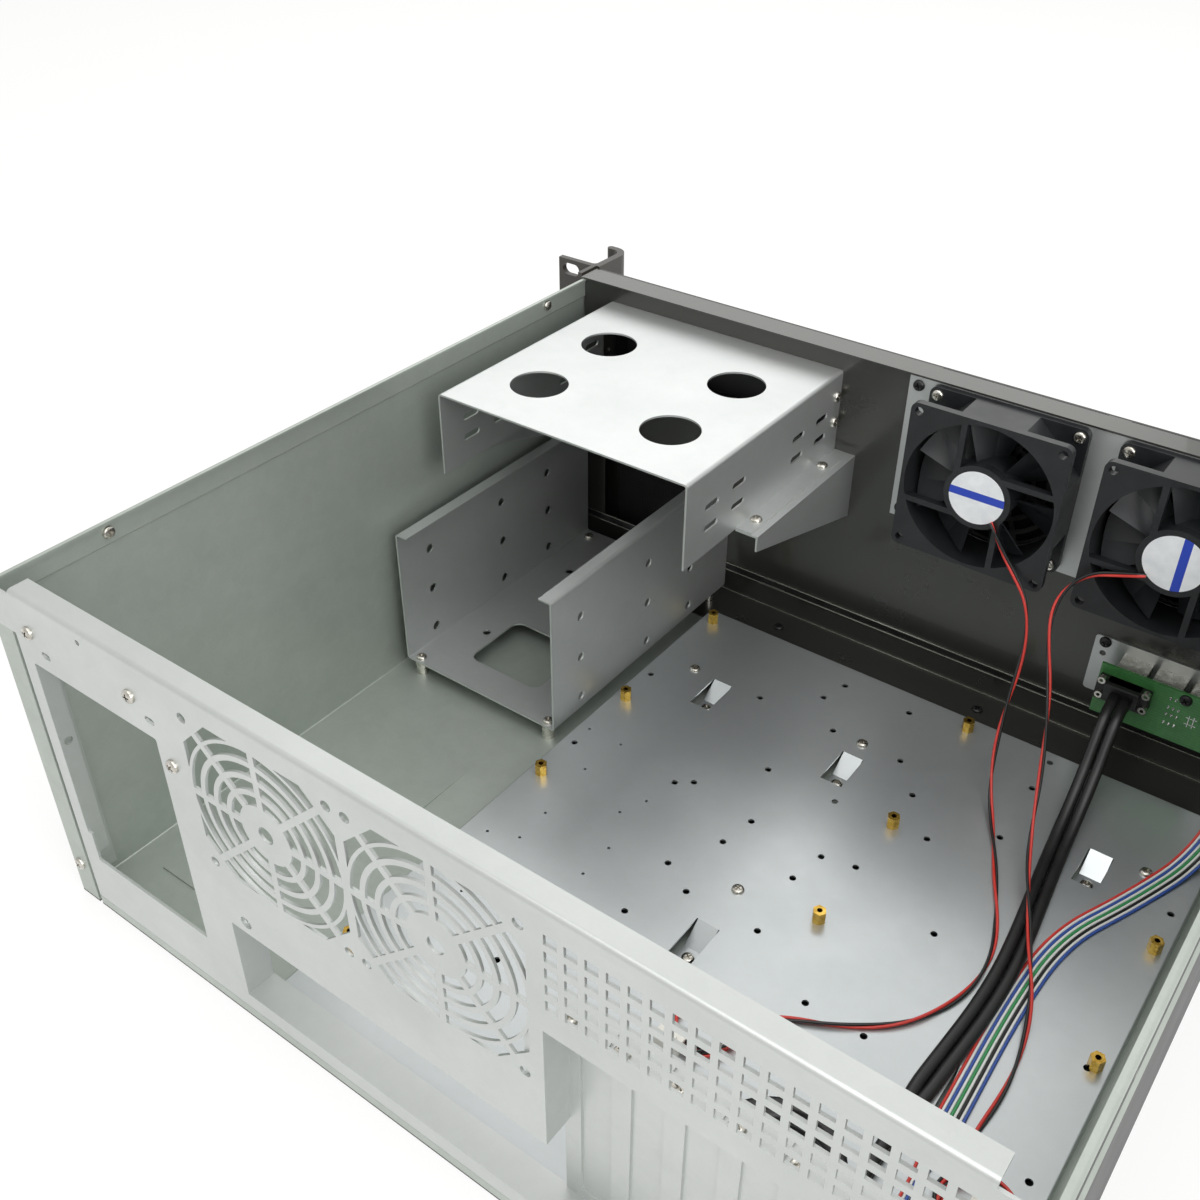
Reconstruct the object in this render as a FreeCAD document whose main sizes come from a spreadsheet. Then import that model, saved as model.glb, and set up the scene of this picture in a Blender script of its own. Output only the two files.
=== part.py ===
import FreeCAD, Part
import math
import os
import sys
from types import SimpleNamespace

import Sketcher

# Empty 4U rackmount server case, 19-inch, lid off. Millimetres, +Z up.
# Origin: middle of the underside. +X is the drive-cage side, the front faces -Y.

SIZES = {
    # folded steel body
    "body_width": 430,
    "body_height": 177,
    "wall_drop": 2,
    "rear_face": 197.7,
    "front_face": 197.5,
    "sheet": 1.2,
    "thin_sheet": 1,
    "bend": 0.8,
    "joggle_drop": 13,
    "wall_lip": 3,
    # rear corner returns of the side walls
    "return_drop": 21.5,
    "drive_side_return": 12,
    "slot_side_return": 6,
    "rear_gap": 2.3,
    "rear_upstand": 5.8,
    "stop_rise": 1,
    "stop_length": 41.5,
    "stop_side": 124.2,
    "stop_width": 70.1,
    "stop_rear": 66.5,
    "ledge_side": 173,
    "ledge_width": 22,
    "ledge_rear": 168,
    # rear panel
    "rear_clearance": 0.2,
    "top_flange_depth": 9.7,
    "top_flange_half": 198.2,
    "corner_drop": 2.6,
    "side_flange_depth": 16.7,
    "psu_left": 118.7,
    "psu_width": 74.5,
    "psu_bottom": 35,
    "psu_height": 109.2,
    "psu_jog": 2.5,
    "psu_jog_bottom": 37,
    "psu_jog_top": 51,
    "psu_flange_depth": 7.4,
    "psu_flange_hole": 4,
    "psu_flange_hole_height": 101,
    "grille_centre_drop": 48,
    "grille_first": 63,
    "grille_pitch": 80.1,
    "grille_hub": 13,
    "grille_slit": 4.5,
    "grille_step": 6.9,
    "grille_spoke": 3,
    "grille_reach": 38,
    "grille_ring": 39.7,
    "grille_corner": 43.6,
    "grille_boss": 7.5,
    "grille_screw_half": 35.75,
    "grille_screw_hole": 4.5,
    "vent_start": 62.3,
    "vent_drop": 10,
    "vent_width": 5,
    "vent_high": 4.5,
    "vent_pitch": 7.5,
    "vent_columns": 18,
    "vent_rows": 5,
    "grille_rings": 4,
    "rear_slot_length": 5.4,
    "rear_slot_width": 3.2,
    "rear_pin_hole": 2.4,
    "rear_pin_x": 155.6,
    "rear_pin_drop": 3,
    "screw_hole": 3.2,
    "screw_play": 0.2,
    "screw_head": 6,
    "screw_head_height": 2,
    "slot_wall": 2,
    # recessed pan for rear connectors and cards
    "io_edge": 97.86,
    "io_width": 158.75,
    "io_bottom": 14.9,
    "io_height": 44.45,
    "recess": 11.4,
    "slot_top": 122,
    "slot_pitch": 20.32,
    "slot_first": 72,
    "slot_open_width": 12.7,
    "slot_open_bottom": 20,
    "slot_area_end": 204.2,
    "pan_flange": 9,
    "cover_width": 18.4,
    "cover_sheet": 0.9,
    "cover_foot_width": 10,
    "cover_foot_bottom": 12,
    "cover_shoulder": 22,
    "cover_taper": 5,
    "cover_screw_offset": 6.3,
    # motherboard tray
    "tray_right": 95,
    "tray_left": 200.3,
    "tray_front": 150.5,
    "tray_rear": 183,
    "tray_top": 10,
    "standoff_height": 6.5,
    "standoff_flats": 5.5,
    "standoff_bore": 2.5,
    "stud_tip": 1,
    "board_column": 87.7,
    "board_column_step": 157.48,
    "board_column_last": 124.46,
    "board_row": 172.84,
    "board_row_corner": 22.86,
    "board_row_middle": 154.94,
    "board_row_front": 72.39,
    "board_row_end": 86.36,
    "tray_hole": 3.2,
    "tray_pin_hole": 1.5,
    "foot_width": 11.8,
    "foot_length": 24,
    "foot_run": 10.5,
    "foot_gap": 0.6,
    # hard-drive cage
    "hdd_right": 101.7,
    "hdd_width": 104,
    "hdd_rear": 10,
    "hdd_length": 165.3,
    "hdd_floor": 10,
    "hdd_top": 92,
    "hdd_lip": 8,
    "hdd_hole": 5.2,
    "hdd_row_first": 19,
    "hdd_row_step": 26,
    "hdd_window_width": 48,
    "hdd_window_length": 42,
    "hdd_window_inset": 20,
    "hdd_window_round": 6,
    "post_diameter": 7,
    "post_inset": 6.9,
    "post_rear_inset": 3.9,
    # 5.25-inch bay cage
    "bay_right": 44.7,
    "bay_width": 149.5,
    "bay_height": 45,
    "bay_drop": 11.5,
    "bay_rear": 38,
    "bay_flange": 9,
    "bay_hole": 30,
    "bay_slot_length": 12,
    "bay_slot_width": 3.6,
    "bracket_rear": 83.5,
    "bracket_web_offset": 12.6,
    "bracket_drop_rear": 8.5,
    "bracket_drop_front": 37.5,
    # front
    "front_drop": 1,
    "front_wall_rear": 183.5,
    "front_wall_lip": 2,
    "wall_tab_height": 26,
    "wall_tab_drop": 19,
    "wall_window_margin": 8,
    "io_window_drop": 12,
    "io_window_top": 5,
    "board_stud_inset": 8,
    "board_stud_rise": 9,
    "board_stud_drop": 6,
    "side_clearance": 0.1,
    "bezel_sheet": 1.5,
    "cover_inset": 0.5,
    "cover_proud": 2.5,
    "cover_depth": 12.5,
    "bezel_vent_pitch": 8,
    "bezel_vent_width": 4,
    "bezel_vent_rows": 9,
    "plate_screw_inset": 5.2,
    "plate_screw_drop": 4.5,
    "lead_hole": 14,
    "lead_hole_height": 86,
    "fan_plate_right": 7.8,
    "fan_plate_width": 200.3,
    "fan_plate_height": 81,
    "fan_plate_drop": 2.5,
    "fan_first": 45.1,
    "fan_step": 94.5,
    "fan_drop": 43,
    "fan_size": 80,
    "fan_thickness": 25,
    "fan_bore": 76,
    "fan_round": 4,
    "fan_flange": 4,
    "fan_screw_half": 35.75,
    "fan_screw_hole": 4.4,
    "fan_hub_radius": 17,
    "fan_hub_depth": 4,
    "fan_strut": 3,
    "fan_waist": 16,
    "motor_radius": 12,
    "motor_front_gap": 4.6,
    "rotor_hub_radius": 16.4,
    "rotor_tip_radius": 36.6,
    "rotor_depth": 17.6,
    "rotor_gap": 0.6,
    "rotor_face": 2,
    "pin_reach": 2.2,
    "pin_play": 0.05,
    "blade_count": 7,
    "blade_sheet": 1.3,
    "blade_camber": 1.6,
    "blade_root_half_chord": 5.2,
    "blade_root_half_depth": 6.6,
    "blade_tip_half_chord": 12.5,
    "blade_tip_half_depth": 7,
    "pin_diameter": 3,
    "label_radius": 14,
    "label_sheet": 0.3,
    "io_plate_right": 110.8,
    "io_plate_width": 76.5,
    "io_plate_bottom": 32.6,
    "io_plate_height": 34,
    "usb_board_right": 119.5,
    "usb_board_width": 60,
    "usb_board_bottom": 30,
    "usb_board_height": 30,
    "usb_board_rear": 170,
    "usb_board_sheet": 1.6,
    "usb_width": 14.6,
    "usb_high": 7,
    "usb_first": 133.6,
    "usb_centre_height": 56.8,
    "usb_pitch": 17.5,
    "usb_mouth_depth": 12,
    "jack_radius": 3.4,
    "jack_first": 163.9,
    "jack_pitch": 7.9,
    "io_spare_hole_drop": 10,
    "usb_plug_width": 26,
    "usb_plug_high": 12,
    "usb_plug_depth": 9,
    "usb_plug_centre": 133.4,
    "usb_plug_height": 49,
    # rack ears
    "ear_half": 241.3,
    "ear_plate": 3.5,
    "ear_leg": 2.7,
    "ear_leg_rear": 183.6,
    "ear_leg_inset": 2.3,
    "ear_reach": 31,
    "ear_grip": 4.2,
    "ear_hook": 14.8,
    "rack_hole_half": 232.55,
    "rack_hole_inset": 5.95,
    "rack_slot_length": 12,
    "rack_slot_width": 7,
    # front buttons
    "button_column": 201,
    "power_height": 140,
    "power_size": 11,
    "reset_height": 122,
    "reset_size": 5,
    "button_proud": 2.2,
    "button_travel": 1.5,
    "button_clearance": 0.3,
    "button_flange": 1.5,
    "button_board_sheet": 1.6,
    "board_standback": 8,
    "board_margin": 10.5,
    "switch_height": 0.9,
    "led_first_height": 108,
    # cords
    "lead_diameter": 2.6,
    "lead_coil_radius": 14,
    "usb_cable_diameter": 5,
    "usb_coil_radius": 26,
    "ribbon_diameter": 4,
    "ribbon_coil_radius": 22,
    "plug_offset": 1,
    "fan_plug_length": 12,
    "fan_plug_width": 6,
    "header_length": 14,
    "header_width": 8,
    "led_pitch": 9,
    "led_diameter": 3,
}


class Size:
    # A length in mm, or a plain number, together with the sheet formula that gives it.
    def __init__(self, value, formula):
        self.value = float(value)
        self.formula = formula

    def __add__(self, other):
        other = as_size(other)
        return Size(self.value + other.value, f"({self.formula} + {other.formula})")

    def __sub__(self, other):
        other = as_size(other)
        return Size(self.value - other.value, f"({self.formula} - {other.formula})")

    def __mul__(self, other):
        other = as_size(other)
        return Size(self.value * other.value, f"({self.formula} * {other.formula})")

    def __truediv__(self, other):
        other = as_size(other)
        return Size(self.value / other.value, f"({self.formula} / {other.formula})")

    def __neg__(self):
        return Size(-self.value, f"(0 - {self.formula})")

    __radd__ = __add__
    __rmul__ = __mul__

    def __rsub__(self, other):
        return as_size(other) - self


def as_size(item):
    return item if isinstance(item, Size) else Size(item, f"({float(item):.6f})")


doc = FreeCAD.newDocument("ServerCase")
sheet = doc.addObject("Spreadsheet::Sheet", "Sizes")
for row, (word, number) in enumerate(SIZES.items(), start=1):
    sheet.set(f"A{row}", word)
    sheet.set(f"B{row}", str(number))
    sheet.setAlias(f"B{row}", word)
doc.recompute()
S = SimpleNamespace(**{word: Size(number, f"Sizes.{word}") for word, number in SIZES.items()})
# heights that keep their place below the top of the case
S.wall_height = S.body_height - S.wall_drop
S.joggle_start = S.body_height - S.joggle_drop
S.return_height = S.body_height - S.return_drop
S.corner_height = S.body_height - S.corner_drop
S.grille_centre_height = S.body_height - S.grille_centre_drop
S.vent_top = S.body_height - S.vent_drop
S.bay_top = S.body_height - S.bay_drop
S.bay_bottom = S.bay_top - S.bay_height
S.front_height = S.body_height - S.front_drop
S.wall_tab_top = S.body_height - S.wall_tab_drop
S.wall_tab_bottom = S.wall_tab_top - S.wall_tab_height
S.fan_plate_top = S.body_height - S.fan_plate_drop
S.fan_plate_bottom = S.fan_plate_top - S.fan_plate_height
S.fan_height = S.body_height - S.fan_drop

nodes = []


def keep(item, label):
    item.Label = label
    nodes.append(item)
    return item


def bind(item, **sizes):
    for name, size in sizes.items():
        item.setExpression(name, as_size(size).formula)


def place(item, x=0, y=0, z=0):
    for axis, size in zip("xyz", (x, y, z)):
        item.setExpression(f"Placement.Base.{axis}", as_size(size).formula)
    return item


def new_body(name):
    return doc.addObject("PartDesign::Body", name)


def sketch_on(body, role, offset):
    # XY_Plane sketches lie at Z = offset, XZ_Plane ones at Y = -offset, YZ_Plane ones at X = offset.
    drawing = body.newObject("Sketcher::SketchObject", f"{body.Name}_sketch")
    plane = next(item for item in body.Origin.OriginFeatures if item.Role == role)
    drawing.AttachmentSupport = [(plane, "")]
    drawing.MapMode = "FlatFace"
    drawing.setExpression("AttachmentOffset.Base.z", as_size(offset).formula)
    return drawing


def flat(body, height):
    return sketch_on(body, "XY_Plane", height)


def facing_y(body, y):
    return sketch_on(body, "XZ_Plane", -as_size(y))


def facing_x(body, x):
    return sketch_on(body, "YZ_Plane", x)


waiting = {}


def constrain(drawing, kind, *details, formula=None):
    # Constraints wait until the sketch is used, and are then solved together.
    waiting.setdefault(drawing.Name, []).append((Sketcher.Constraint(kind, *details), formula))


def settle(drawing):
    entries = waiting.pop(drawing.Name)
    numbers = drawing.addConstraint([constraint for constraint, formula in entries])
    for number, (constraint, formula) in zip(numbers, entries):
        if formula:
            drawing.setExpression(f"Constraints[{number}]", formula)


def pin_point(drawing, geometry, position, point):
    for axis, size in zip(("DistanceX", "DistanceY"), point):
        constrain(drawing, axis, -1, 1, geometry, position, size.value, formula=size.formula)


def pin_centre(drawing, arc, axis, size):
    constrain(drawing, axis, -1, 1, arc, 3, size.value, formula=size.formula)


def vector(point):
    return FreeCAD.Vector(point[0].value, point[1].value, 0)


def toward(corner, other, distance):
    # The point at a distance from a square corner along the edge that leads to the other point.
    across = other[0].value - corner[0].value
    along = other[1].value - corner[1].value
    if abs(across) > abs(along):
        return (corner[0] + distance * math.copysign(1, across), corner[1])
    return (corner[0], corner[1] + distance * math.copysign(1, along))


def add_arc(drawing, centre, start, end):
    # A short arc about a centre, from start to end, drawn anticlockwise; says if it was turned round.
    first = vector(start) - vector(centre)
    last = vector(end) - vector(centre)
    flipped = first.cross(last).z < 0
    if flipped:
        first, last = last, first
    circle = Part.Circle(vector(centre), FreeCAD.Vector(0, 0, 1), first.Length)
    begin = math.atan2(first.y, first.x)
    finish = math.atan2(last.y, last.x)
    if finish < begin:
        finish += 2 * math.pi
    return drawing.addGeometry(Part.ArcOfCircle(circle, begin, finish)), flipped


def polygon(drawing, *corners):
    # A closed outline. A corner is (x, y), or (x, y, radius) where two square edges meet rounded.
    points = [tuple(as_size(size) for size in corner) for corner in corners]
    stations = []
    for index, point in enumerate(points):
        if len(point) == 2:
            stations.append((point, point, None))
            continue
        corner = point[:2]
        before = toward(corner, points[index - 1], point[2])
        after = toward(corner, points[(index + 1) % len(points)], point[2])
        vertical_first = before[0] is corner[0]
        centre = (after[0], before[1]) if vertical_first else (before[0], after[1])
        stations.append((before, after, centre))
    lines = []
    for index, station in enumerate(stations):
        start = station[1]
        end = stations[(index + 1) % len(stations)][0]
        line = drawing.addGeometry(Part.LineSegment(vector(start), vector(end)))
        pin_point(drawing, line, 1, start)
        if stations[(index + 1) % len(stations)][2]:
            pin_point(drawing, line, 2, end)
        lines.append(line)
    for index, (before, after, centre) in enumerate(stations):
        incoming = lines[index - 1]
        outgoing = lines[index]
        if centre is None:
            constrain(drawing, "Coincident", incoming, 2, outgoing, 1)
            continue
        arc, flipped = add_arc(drawing, centre, before, after)
        ends = (2, 1) if flipped else (1, 2)
        constrain(drawing, "Coincident", incoming, 2, arc, ends[0])
        constrain(drawing, "Coincident", outgoing, 1, arc, ends[1])
        pin_centre(drawing, arc, "DistanceX", centre[0])


def rectangle(drawing, left, bottom, right, top, radius=None):
    corners = ((left, bottom), (right, bottom), (right, top), (left, top))
    if radius is None:
        polygon(drawing, *corners)
    else:
        polygon(drawing, *[corner + (radius,) for corner in corners])


def circle(drawing, x, y, diameter):
    x, y, diameter = as_size(x), as_size(y), as_size(diameter)
    shape = Part.Circle(vector((x, y)), FreeCAD.Vector(0, 0, 1), diameter.value / 2)
    geometry = drawing.addGeometry(shape)
    pin_point(drawing, geometry, 3, (x, y))
    constrain(drawing, "Diameter", geometry, diameter.value, formula=diameter.formula)


def slot(drawing, x, y, length, width):
    # A round-ended slot that runs along the sketch's first axis.
    x, y, length, width = (as_size(size) for size in (x, y, length, width))
    reach = (length - width) / 2
    radius = width / 2
    lower = (x - reach, y - radius), (x + reach, y - radius)
    upper = (x + reach, y + radius), (x - reach, y + radius)
    lines = []
    for start, end in (lower, upper):
        line = drawing.addGeometry(Part.LineSegment(vector(start), vector(end)))
        pin_point(drawing, line, 1, start)
        pin_point(drawing, line, 2, end)
        lines.append(line)
    for here, (side, quarter) in enumerate(((reach, -1), (-reach, 1))):
        centre = (x + side, y)
        round_end = Part.Circle(vector(centre), FreeCAD.Vector(0, 0, 1), radius.value)
        begin = quarter * math.pi / 2
        arc = drawing.addGeometry(Part.ArcOfCircle(round_end, begin, begin + math.pi))
        constrain(drawing, "Coincident", lines[here], 2, arc, 1)
        constrain(drawing, "Coincident", lines[1 - here], 1, arc, 2)
        pin_centre(drawing, arc, "DistanceX", centre[0])


def pad(drawing, length, backwards=False):
    # Adds material from the sketch: up, toward -Y or toward +X, or the other way when backwards.
    settle(drawing)
    body = drawing.getParentGeoFeatureGroup()
    feature = body.newObject("PartDesign::Pad", f"{body.Name}_pad")
    feature.Profile = drawing
    feature.Reversed = backwards
    bind(feature, Length=length)
    drawing.Visibility = False
    return feature


def cut(drawing, depth):
    # Cuts the outline through, half of the depth to each side of the sketch.
    settle(drawing)
    body = drawing.getParentGeoFeatureGroup()
    feature = body.newObject("PartDesign::Pocket", f"{body.Name}_cut")
    feature.Profile = drawing
    feature.SideType = "Symmetric"
    bind(feature, Length=depth)
    return feature


def turned(body, profile_points):
    # A solid of revolution about the body's own Z axis, from (radius, height) points.
    drawing = facing_y(body, 0)
    polygon(drawing, *profile_points)
    settle(drawing)
    feature = body.newObject("PartDesign::Revolution", f"{body.Name}_turning")
    feature.Profile = drawing
    feature.ReferenceAxis = (drawing, ["V_Axis"])
    feature.Angle = 360
    return body


def box(name, x, y, z, width, depth, height):
    item = doc.addObject("Part::Box", name)
    bind(item, Length=width, Width=depth, Height=height)
    return place(item, x, y, z)


def rod(name, x, y, z, radius, length, axis=(0, 0, 1)):
    item = doc.addObject("Part::Cylinder", name)
    item.Placement.Rotation = FreeCAD.Rotation(FreeCAD.Vector(0, 0, 1), FreeCAD.Vector(*axis))
    bind(item, Radius=radius, Height=length)
    return place(item, x, y, z)


def combine(kind, name, *items):
    feature = doc.addObject(f"Part::{kind}", name)
    if kind in ("Cut", "Common"):
        feature.Base, feature.Tool = items
    elif kind == "MultiFuse":
        feature.Shapes = list(items)
    else:
        feature.Links = list(items)
    return feature


def copies(source, name, spots, axis=(0, 0, 1)):
    # Copies of one body, its own Z axis turned to the given axis, one at each spot.
    links = []
    turn = FreeCAD.Rotation(FreeCAD.Vector(0, 0, 1), FreeCAD.Vector(*axis))
    for spot in spots:
        link = doc.addObject("App::Link", f"{name}_copy")
        link.setLink(source)
        link.Placement = FreeCAD.Placement(FreeCAD.Vector(), turn)
        place(link, *spot)
        links.append(link)
    return links


def screw(name, head_radius, head_height, shank_radius, shank_length):
    # A pan-head screw: the head's seat is at the origin, the shank points down.
    edge = head_height * 0.45
    crown = head_radius * 0.62
    return turned(new_body(name), (
        (0, -as_size(shank_length)), (shank_radius, -as_size(shank_length)), (shank_radius, 0),
        (head_radius, 0), (head_radius, edge), (crown, head_height), (0, head_height)))


# ---- body ----

half = S.body_width / 2
rear_inner = S.rear_face - S.sheet
front_inner = S.front_face - S.bezel_sheet
bend_outer = S.bend + S.sheet
wall_inner = half - S.sheet
band_outer = half - S.sheet
band_inner = band_outer - S.sheet
lip_edge = band_outer - S.wall_lip
joggle_end = S.joggle_start - S.sheet
lip_under = S.wall_height - S.sheet


upstand_right = half - S.drive_side_return - S.rear_gap
upstand_left = -(half - S.slot_side_return - S.rear_gap)


# holes of the motherboard tray for other board sizes, as (x, y)
BOARD_HOLES = [
    (88.7, -79.5), (88.2, -10), (30.2, -98.4), (3, -119), (-1.6, -134.7), (-14, -98.2),
    (-2.1, -52.4), (30.3, -16.5), (22.7, -22.3), (-14.3, -16.3), (-10.5, 3.2), (2.7, 29.8),
    (-13.7, 39.2), (2, 65.1), (-51.3, 39.3), (-39.9, -52.4), (-52.3, -16.3), (-48.3, 3.2),
    (-68.3, -20.1), (-52.5, -98.2), (-39.5, -134.9), (-68.3, -79.3), (-113.8, -142.5),
    (-113.6, -119.2), (-86.9, -56.4), (-114.2, -78.1), (-114.2, -5.7), (-193.9, -79.3),
    (-191.8, -120), (-87, 60), (-87, 110), (-52, 110), (2, 110), (-114, 60), (-114, 130),
    (-192, 20), (-192, 80), (30, 120), (88, 100)]
PIN_HOLES = [
    (88.3, -23), (68.2, -23), (71.8, 2.6), (34, 2.7), (40, 16.6), (68.5, 38.6), (83, 64.6),
    (68.1, 58.6), (30.2, 38.8), (30.2, 58.7), (68, 100), (30, 100)]
tray_plate_screws = [(71.8, -97.8), (-31.1, -98), (-32, 24.4), (-177, -97.3)]
rear_slot_spots = [(182.2, 152.4), (119.7, 152.6)]
rear_screws = [(190.7, 160), (129.2, 159.5), (111.7, 135), (209.7, 20.8)]
band_screws = [(-148.6, 170), (142.8, 169.2)]
ear_screw_spots = [(-189, 20), (-189, 88.5), (-189, 157)]
pan_fixing = (87.9, 65.9)

# places on the tray and floor, as (x, y)
foot_spots = [(52.9, -73), (-31.6, -63.3), (-156.5, -73), (-32, 73), (-156.5, 73)]
foot_screws = [(x, y - S.foot_length * 0.34) for x, y in foot_spots]
front_floor_holes = [(59.2, -168.3), (-64.7, -168.3)]
hdd_left = S.hdd_right + S.hdd_width
hdd_wall_columns = (-33.5, -93.4, -135.2)
hdd_floor_rows = (-53.3, -130.3)
hdd_front = -S.hdd_rear - S.hdd_length
post_spots = [
    (S.hdd_right + S.post_inset, -S.hdd_rear - S.post_rear_inset),
    (hdd_left - S.post_inset, -S.hdd_rear - S.post_rear_inset),
    (S.hdd_right + S.post_inset, hdd_front + S.post_inset),
    (hdd_left - S.post_inset, hdd_front + S.post_inset)]
board_columns = (
    S.board_column, S.board_column - S.board_column_step,
    S.board_column - S.board_column_step - S.board_column_last)
board_rows = (
    S.board_row - S.board_row_middle, S.board_row - S.board_row_middle - S.board_row_front,
    S.board_row - S.board_row_middle - S.board_row_front - S.board_row_end)
standoff_spots = [(x, y) for x in board_columns for y in board_rows]
standoff_spots += [(x, S.board_row) for x in board_columns[1:]]
standoff_spots += [(board_columns[0], S.board_row - S.board_row_corner)]


def chassis_tub():
    body = new_body("chassis_tub")
    section = facing_y(body, rear_inner)
    right = (
        (half, 0, bend_outer), (half, joggle_end), (band_outer, S.joggle_start),
        (band_outer, S.wall_height, bend_outer * 0.75), (lip_edge, S.wall_height),
        (lip_edge, lip_under), (band_inner, lip_under), (band_inner, S.joggle_start),
        (wall_inner, joggle_end), (wall_inner, S.sheet, S.bend))
    left = [(-corner[0],) + corner[1:] for corner in reversed(right)]
    polygon(section, *right, *left)
    pad(section, rear_inner + front_inner)
    # corner returns and the low upstand, folded up from the walls and the floor
    returns = facing_y(body, rear_inner)
    rectangle(returns, half - S.drive_side_return, 0, half, S.return_height)
    rectangle(returns, -half, 0, -half + S.slot_side_return, S.return_height)
    rectangle(returns, upstand_left, 0, upstand_right, S.rear_upstand)
    pad(returns, S.sheet, backwards=True)
    # formed stops for the power supply, high at the rear and running out forwards
    for side, width, rear in ((S.stop_side, S.stop_width, S.stop_rear),
                              (S.ledge_side, S.ledge_width, S.ledge_rear)):
        stop = facing_x(body, side)
        polygon(stop, (rear, S.sheet / 2), (rear, S.sheet + S.stop_rise),
                (rear - S.stop_length, S.sheet), (rear - S.stop_length, S.sheet / 2))
        pad(stop, width)
    holes = flat(body, S.sheet / 2)
    for x, y in foot_screws + post_spots + front_floor_holes:
        circle(holes, x, y, S.screw_hole)
    cut(holes, S.sheet * 6)
    band_holes = facing_x(body, 0)
    for y, z in band_screws + ear_screw_spots:
        circle(band_holes, y, z, S.screw_hole)
    cut(band_holes, S.body_width * 1.1)
    return_hole = facing_y(body, S.rear_face - S.sheet / 2)
    circle(return_hole, *rear_screws[3], S.screw_hole)
    cut(return_hole, S.sheet * 3)
    return keep(body, "chassis_tub")


# ---- rear ----

panel_bottom = S.rear_upstand + S.rear_clearance
panel_right = upstand_right
panel_left = upstand_left
corner_half = half - S.rear_clearance * 2
opening_top = S.io_bottom + S.io_height
io_left = S.io_edge - S.io_width


def connector_opening(drawing, grow):
    # The L-shaped opening for the board's connectors and the cards, made larger all round by grow.
    grow = as_size(grow)
    slot_side = -S.slot_area_end - grow
    polygon(drawing,
            (slot_side, S.io_bottom - grow), (S.io_edge + grow, S.io_bottom - grow),
            (S.io_edge + grow, opening_top + grow), (io_left + grow, opening_top + grow),
            (io_left + grow, S.slot_top + grow - S.thin_sheet),
            (slot_side, S.slot_top + grow - S.thin_sheet))


def grille_cutter(name, x):
    # Everything that is cut away for one fan: four rings of slits, four corners, boss and screws.
    depth = S.sheet * 4
    near = rear_inner - S.sheet
    toward_rear = (0, 1, 0)

    def disc(label, radius):
        return rod(f"{name}_{label}", x, near, S.grille_centre_height, radius, depth, toward_rear)

    rings = []
    for number in range(SIZES["grille_rings"]):
        inner = S.grille_hub + S.grille_step * number
        outer = inner + S.grille_slit
        ring = combine("Cut", f"{name}_ring{number}", disc(f"outer{number}", outer),
                       disc(f"inner{number}", inner))
        rings.append(ring)
    reach = S.grille_reach
    square = box(f"{name}_square", x - reach, near, S.grille_centre_height - reach,
                 reach * 2, depth, reach * 2)
    corner = S.grille_corner
    diamond = box(f"{name}_diamond", x, near, S.grille_centre_height - corner * math.sqrt(2),
                  corner * 2, depth, corner * 2)
    diamond.Placement.Rotation = FreeCAD.Rotation(FreeCAD.Vector(0, 1, 0), -45)
    octagon = combine("Common", f"{name}_octagon", square, diamond)
    rings.append(combine("Cut", f"{name}_corners", octagon, disc("web", S.grille_ring)))
    spokes = []
    for number in range(4):
        spoke = box(f"{name}_spoke{number}", 0, 0, 0, reach * 3, depth * 2, S.grille_spoke)
        turn = FreeCAD.Rotation(FreeCAD.Vector(0, 1, 0), 45 * number)
        middle = turn.multVec(FreeCAD.Vector(-1.5, 0, 0))
        rise = turn.multVec(FreeCAD.Vector(0, 0, -0.5))
        spoke.Placement.Rotation = turn
        place(spoke, x + reach * middle.x + S.grille_spoke * rise.x, near - S.sheet,
              S.grille_centre_height + reach * middle.z + S.grille_spoke * rise.z)
        spokes.append(spoke)
    slits = combine("Cut", f"{name}_slits", combine("MultiFuse", f"{name}_all", *rings),
                    combine("MultiFuse", f"{name}_spokes", *spokes))
    holes = [disc("boss", S.grille_boss / 2)]
    for side in (-1, 1):
        for up in (-1, 1):
            holes.append(rod(
                f"{name}_screw", x + S.grille_screw_half * side, near,
                S.grille_centre_height + S.grille_screw_half * up, S.grille_screw_hole / 2, depth,
                toward_rear))
    return [slits] + holes


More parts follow.
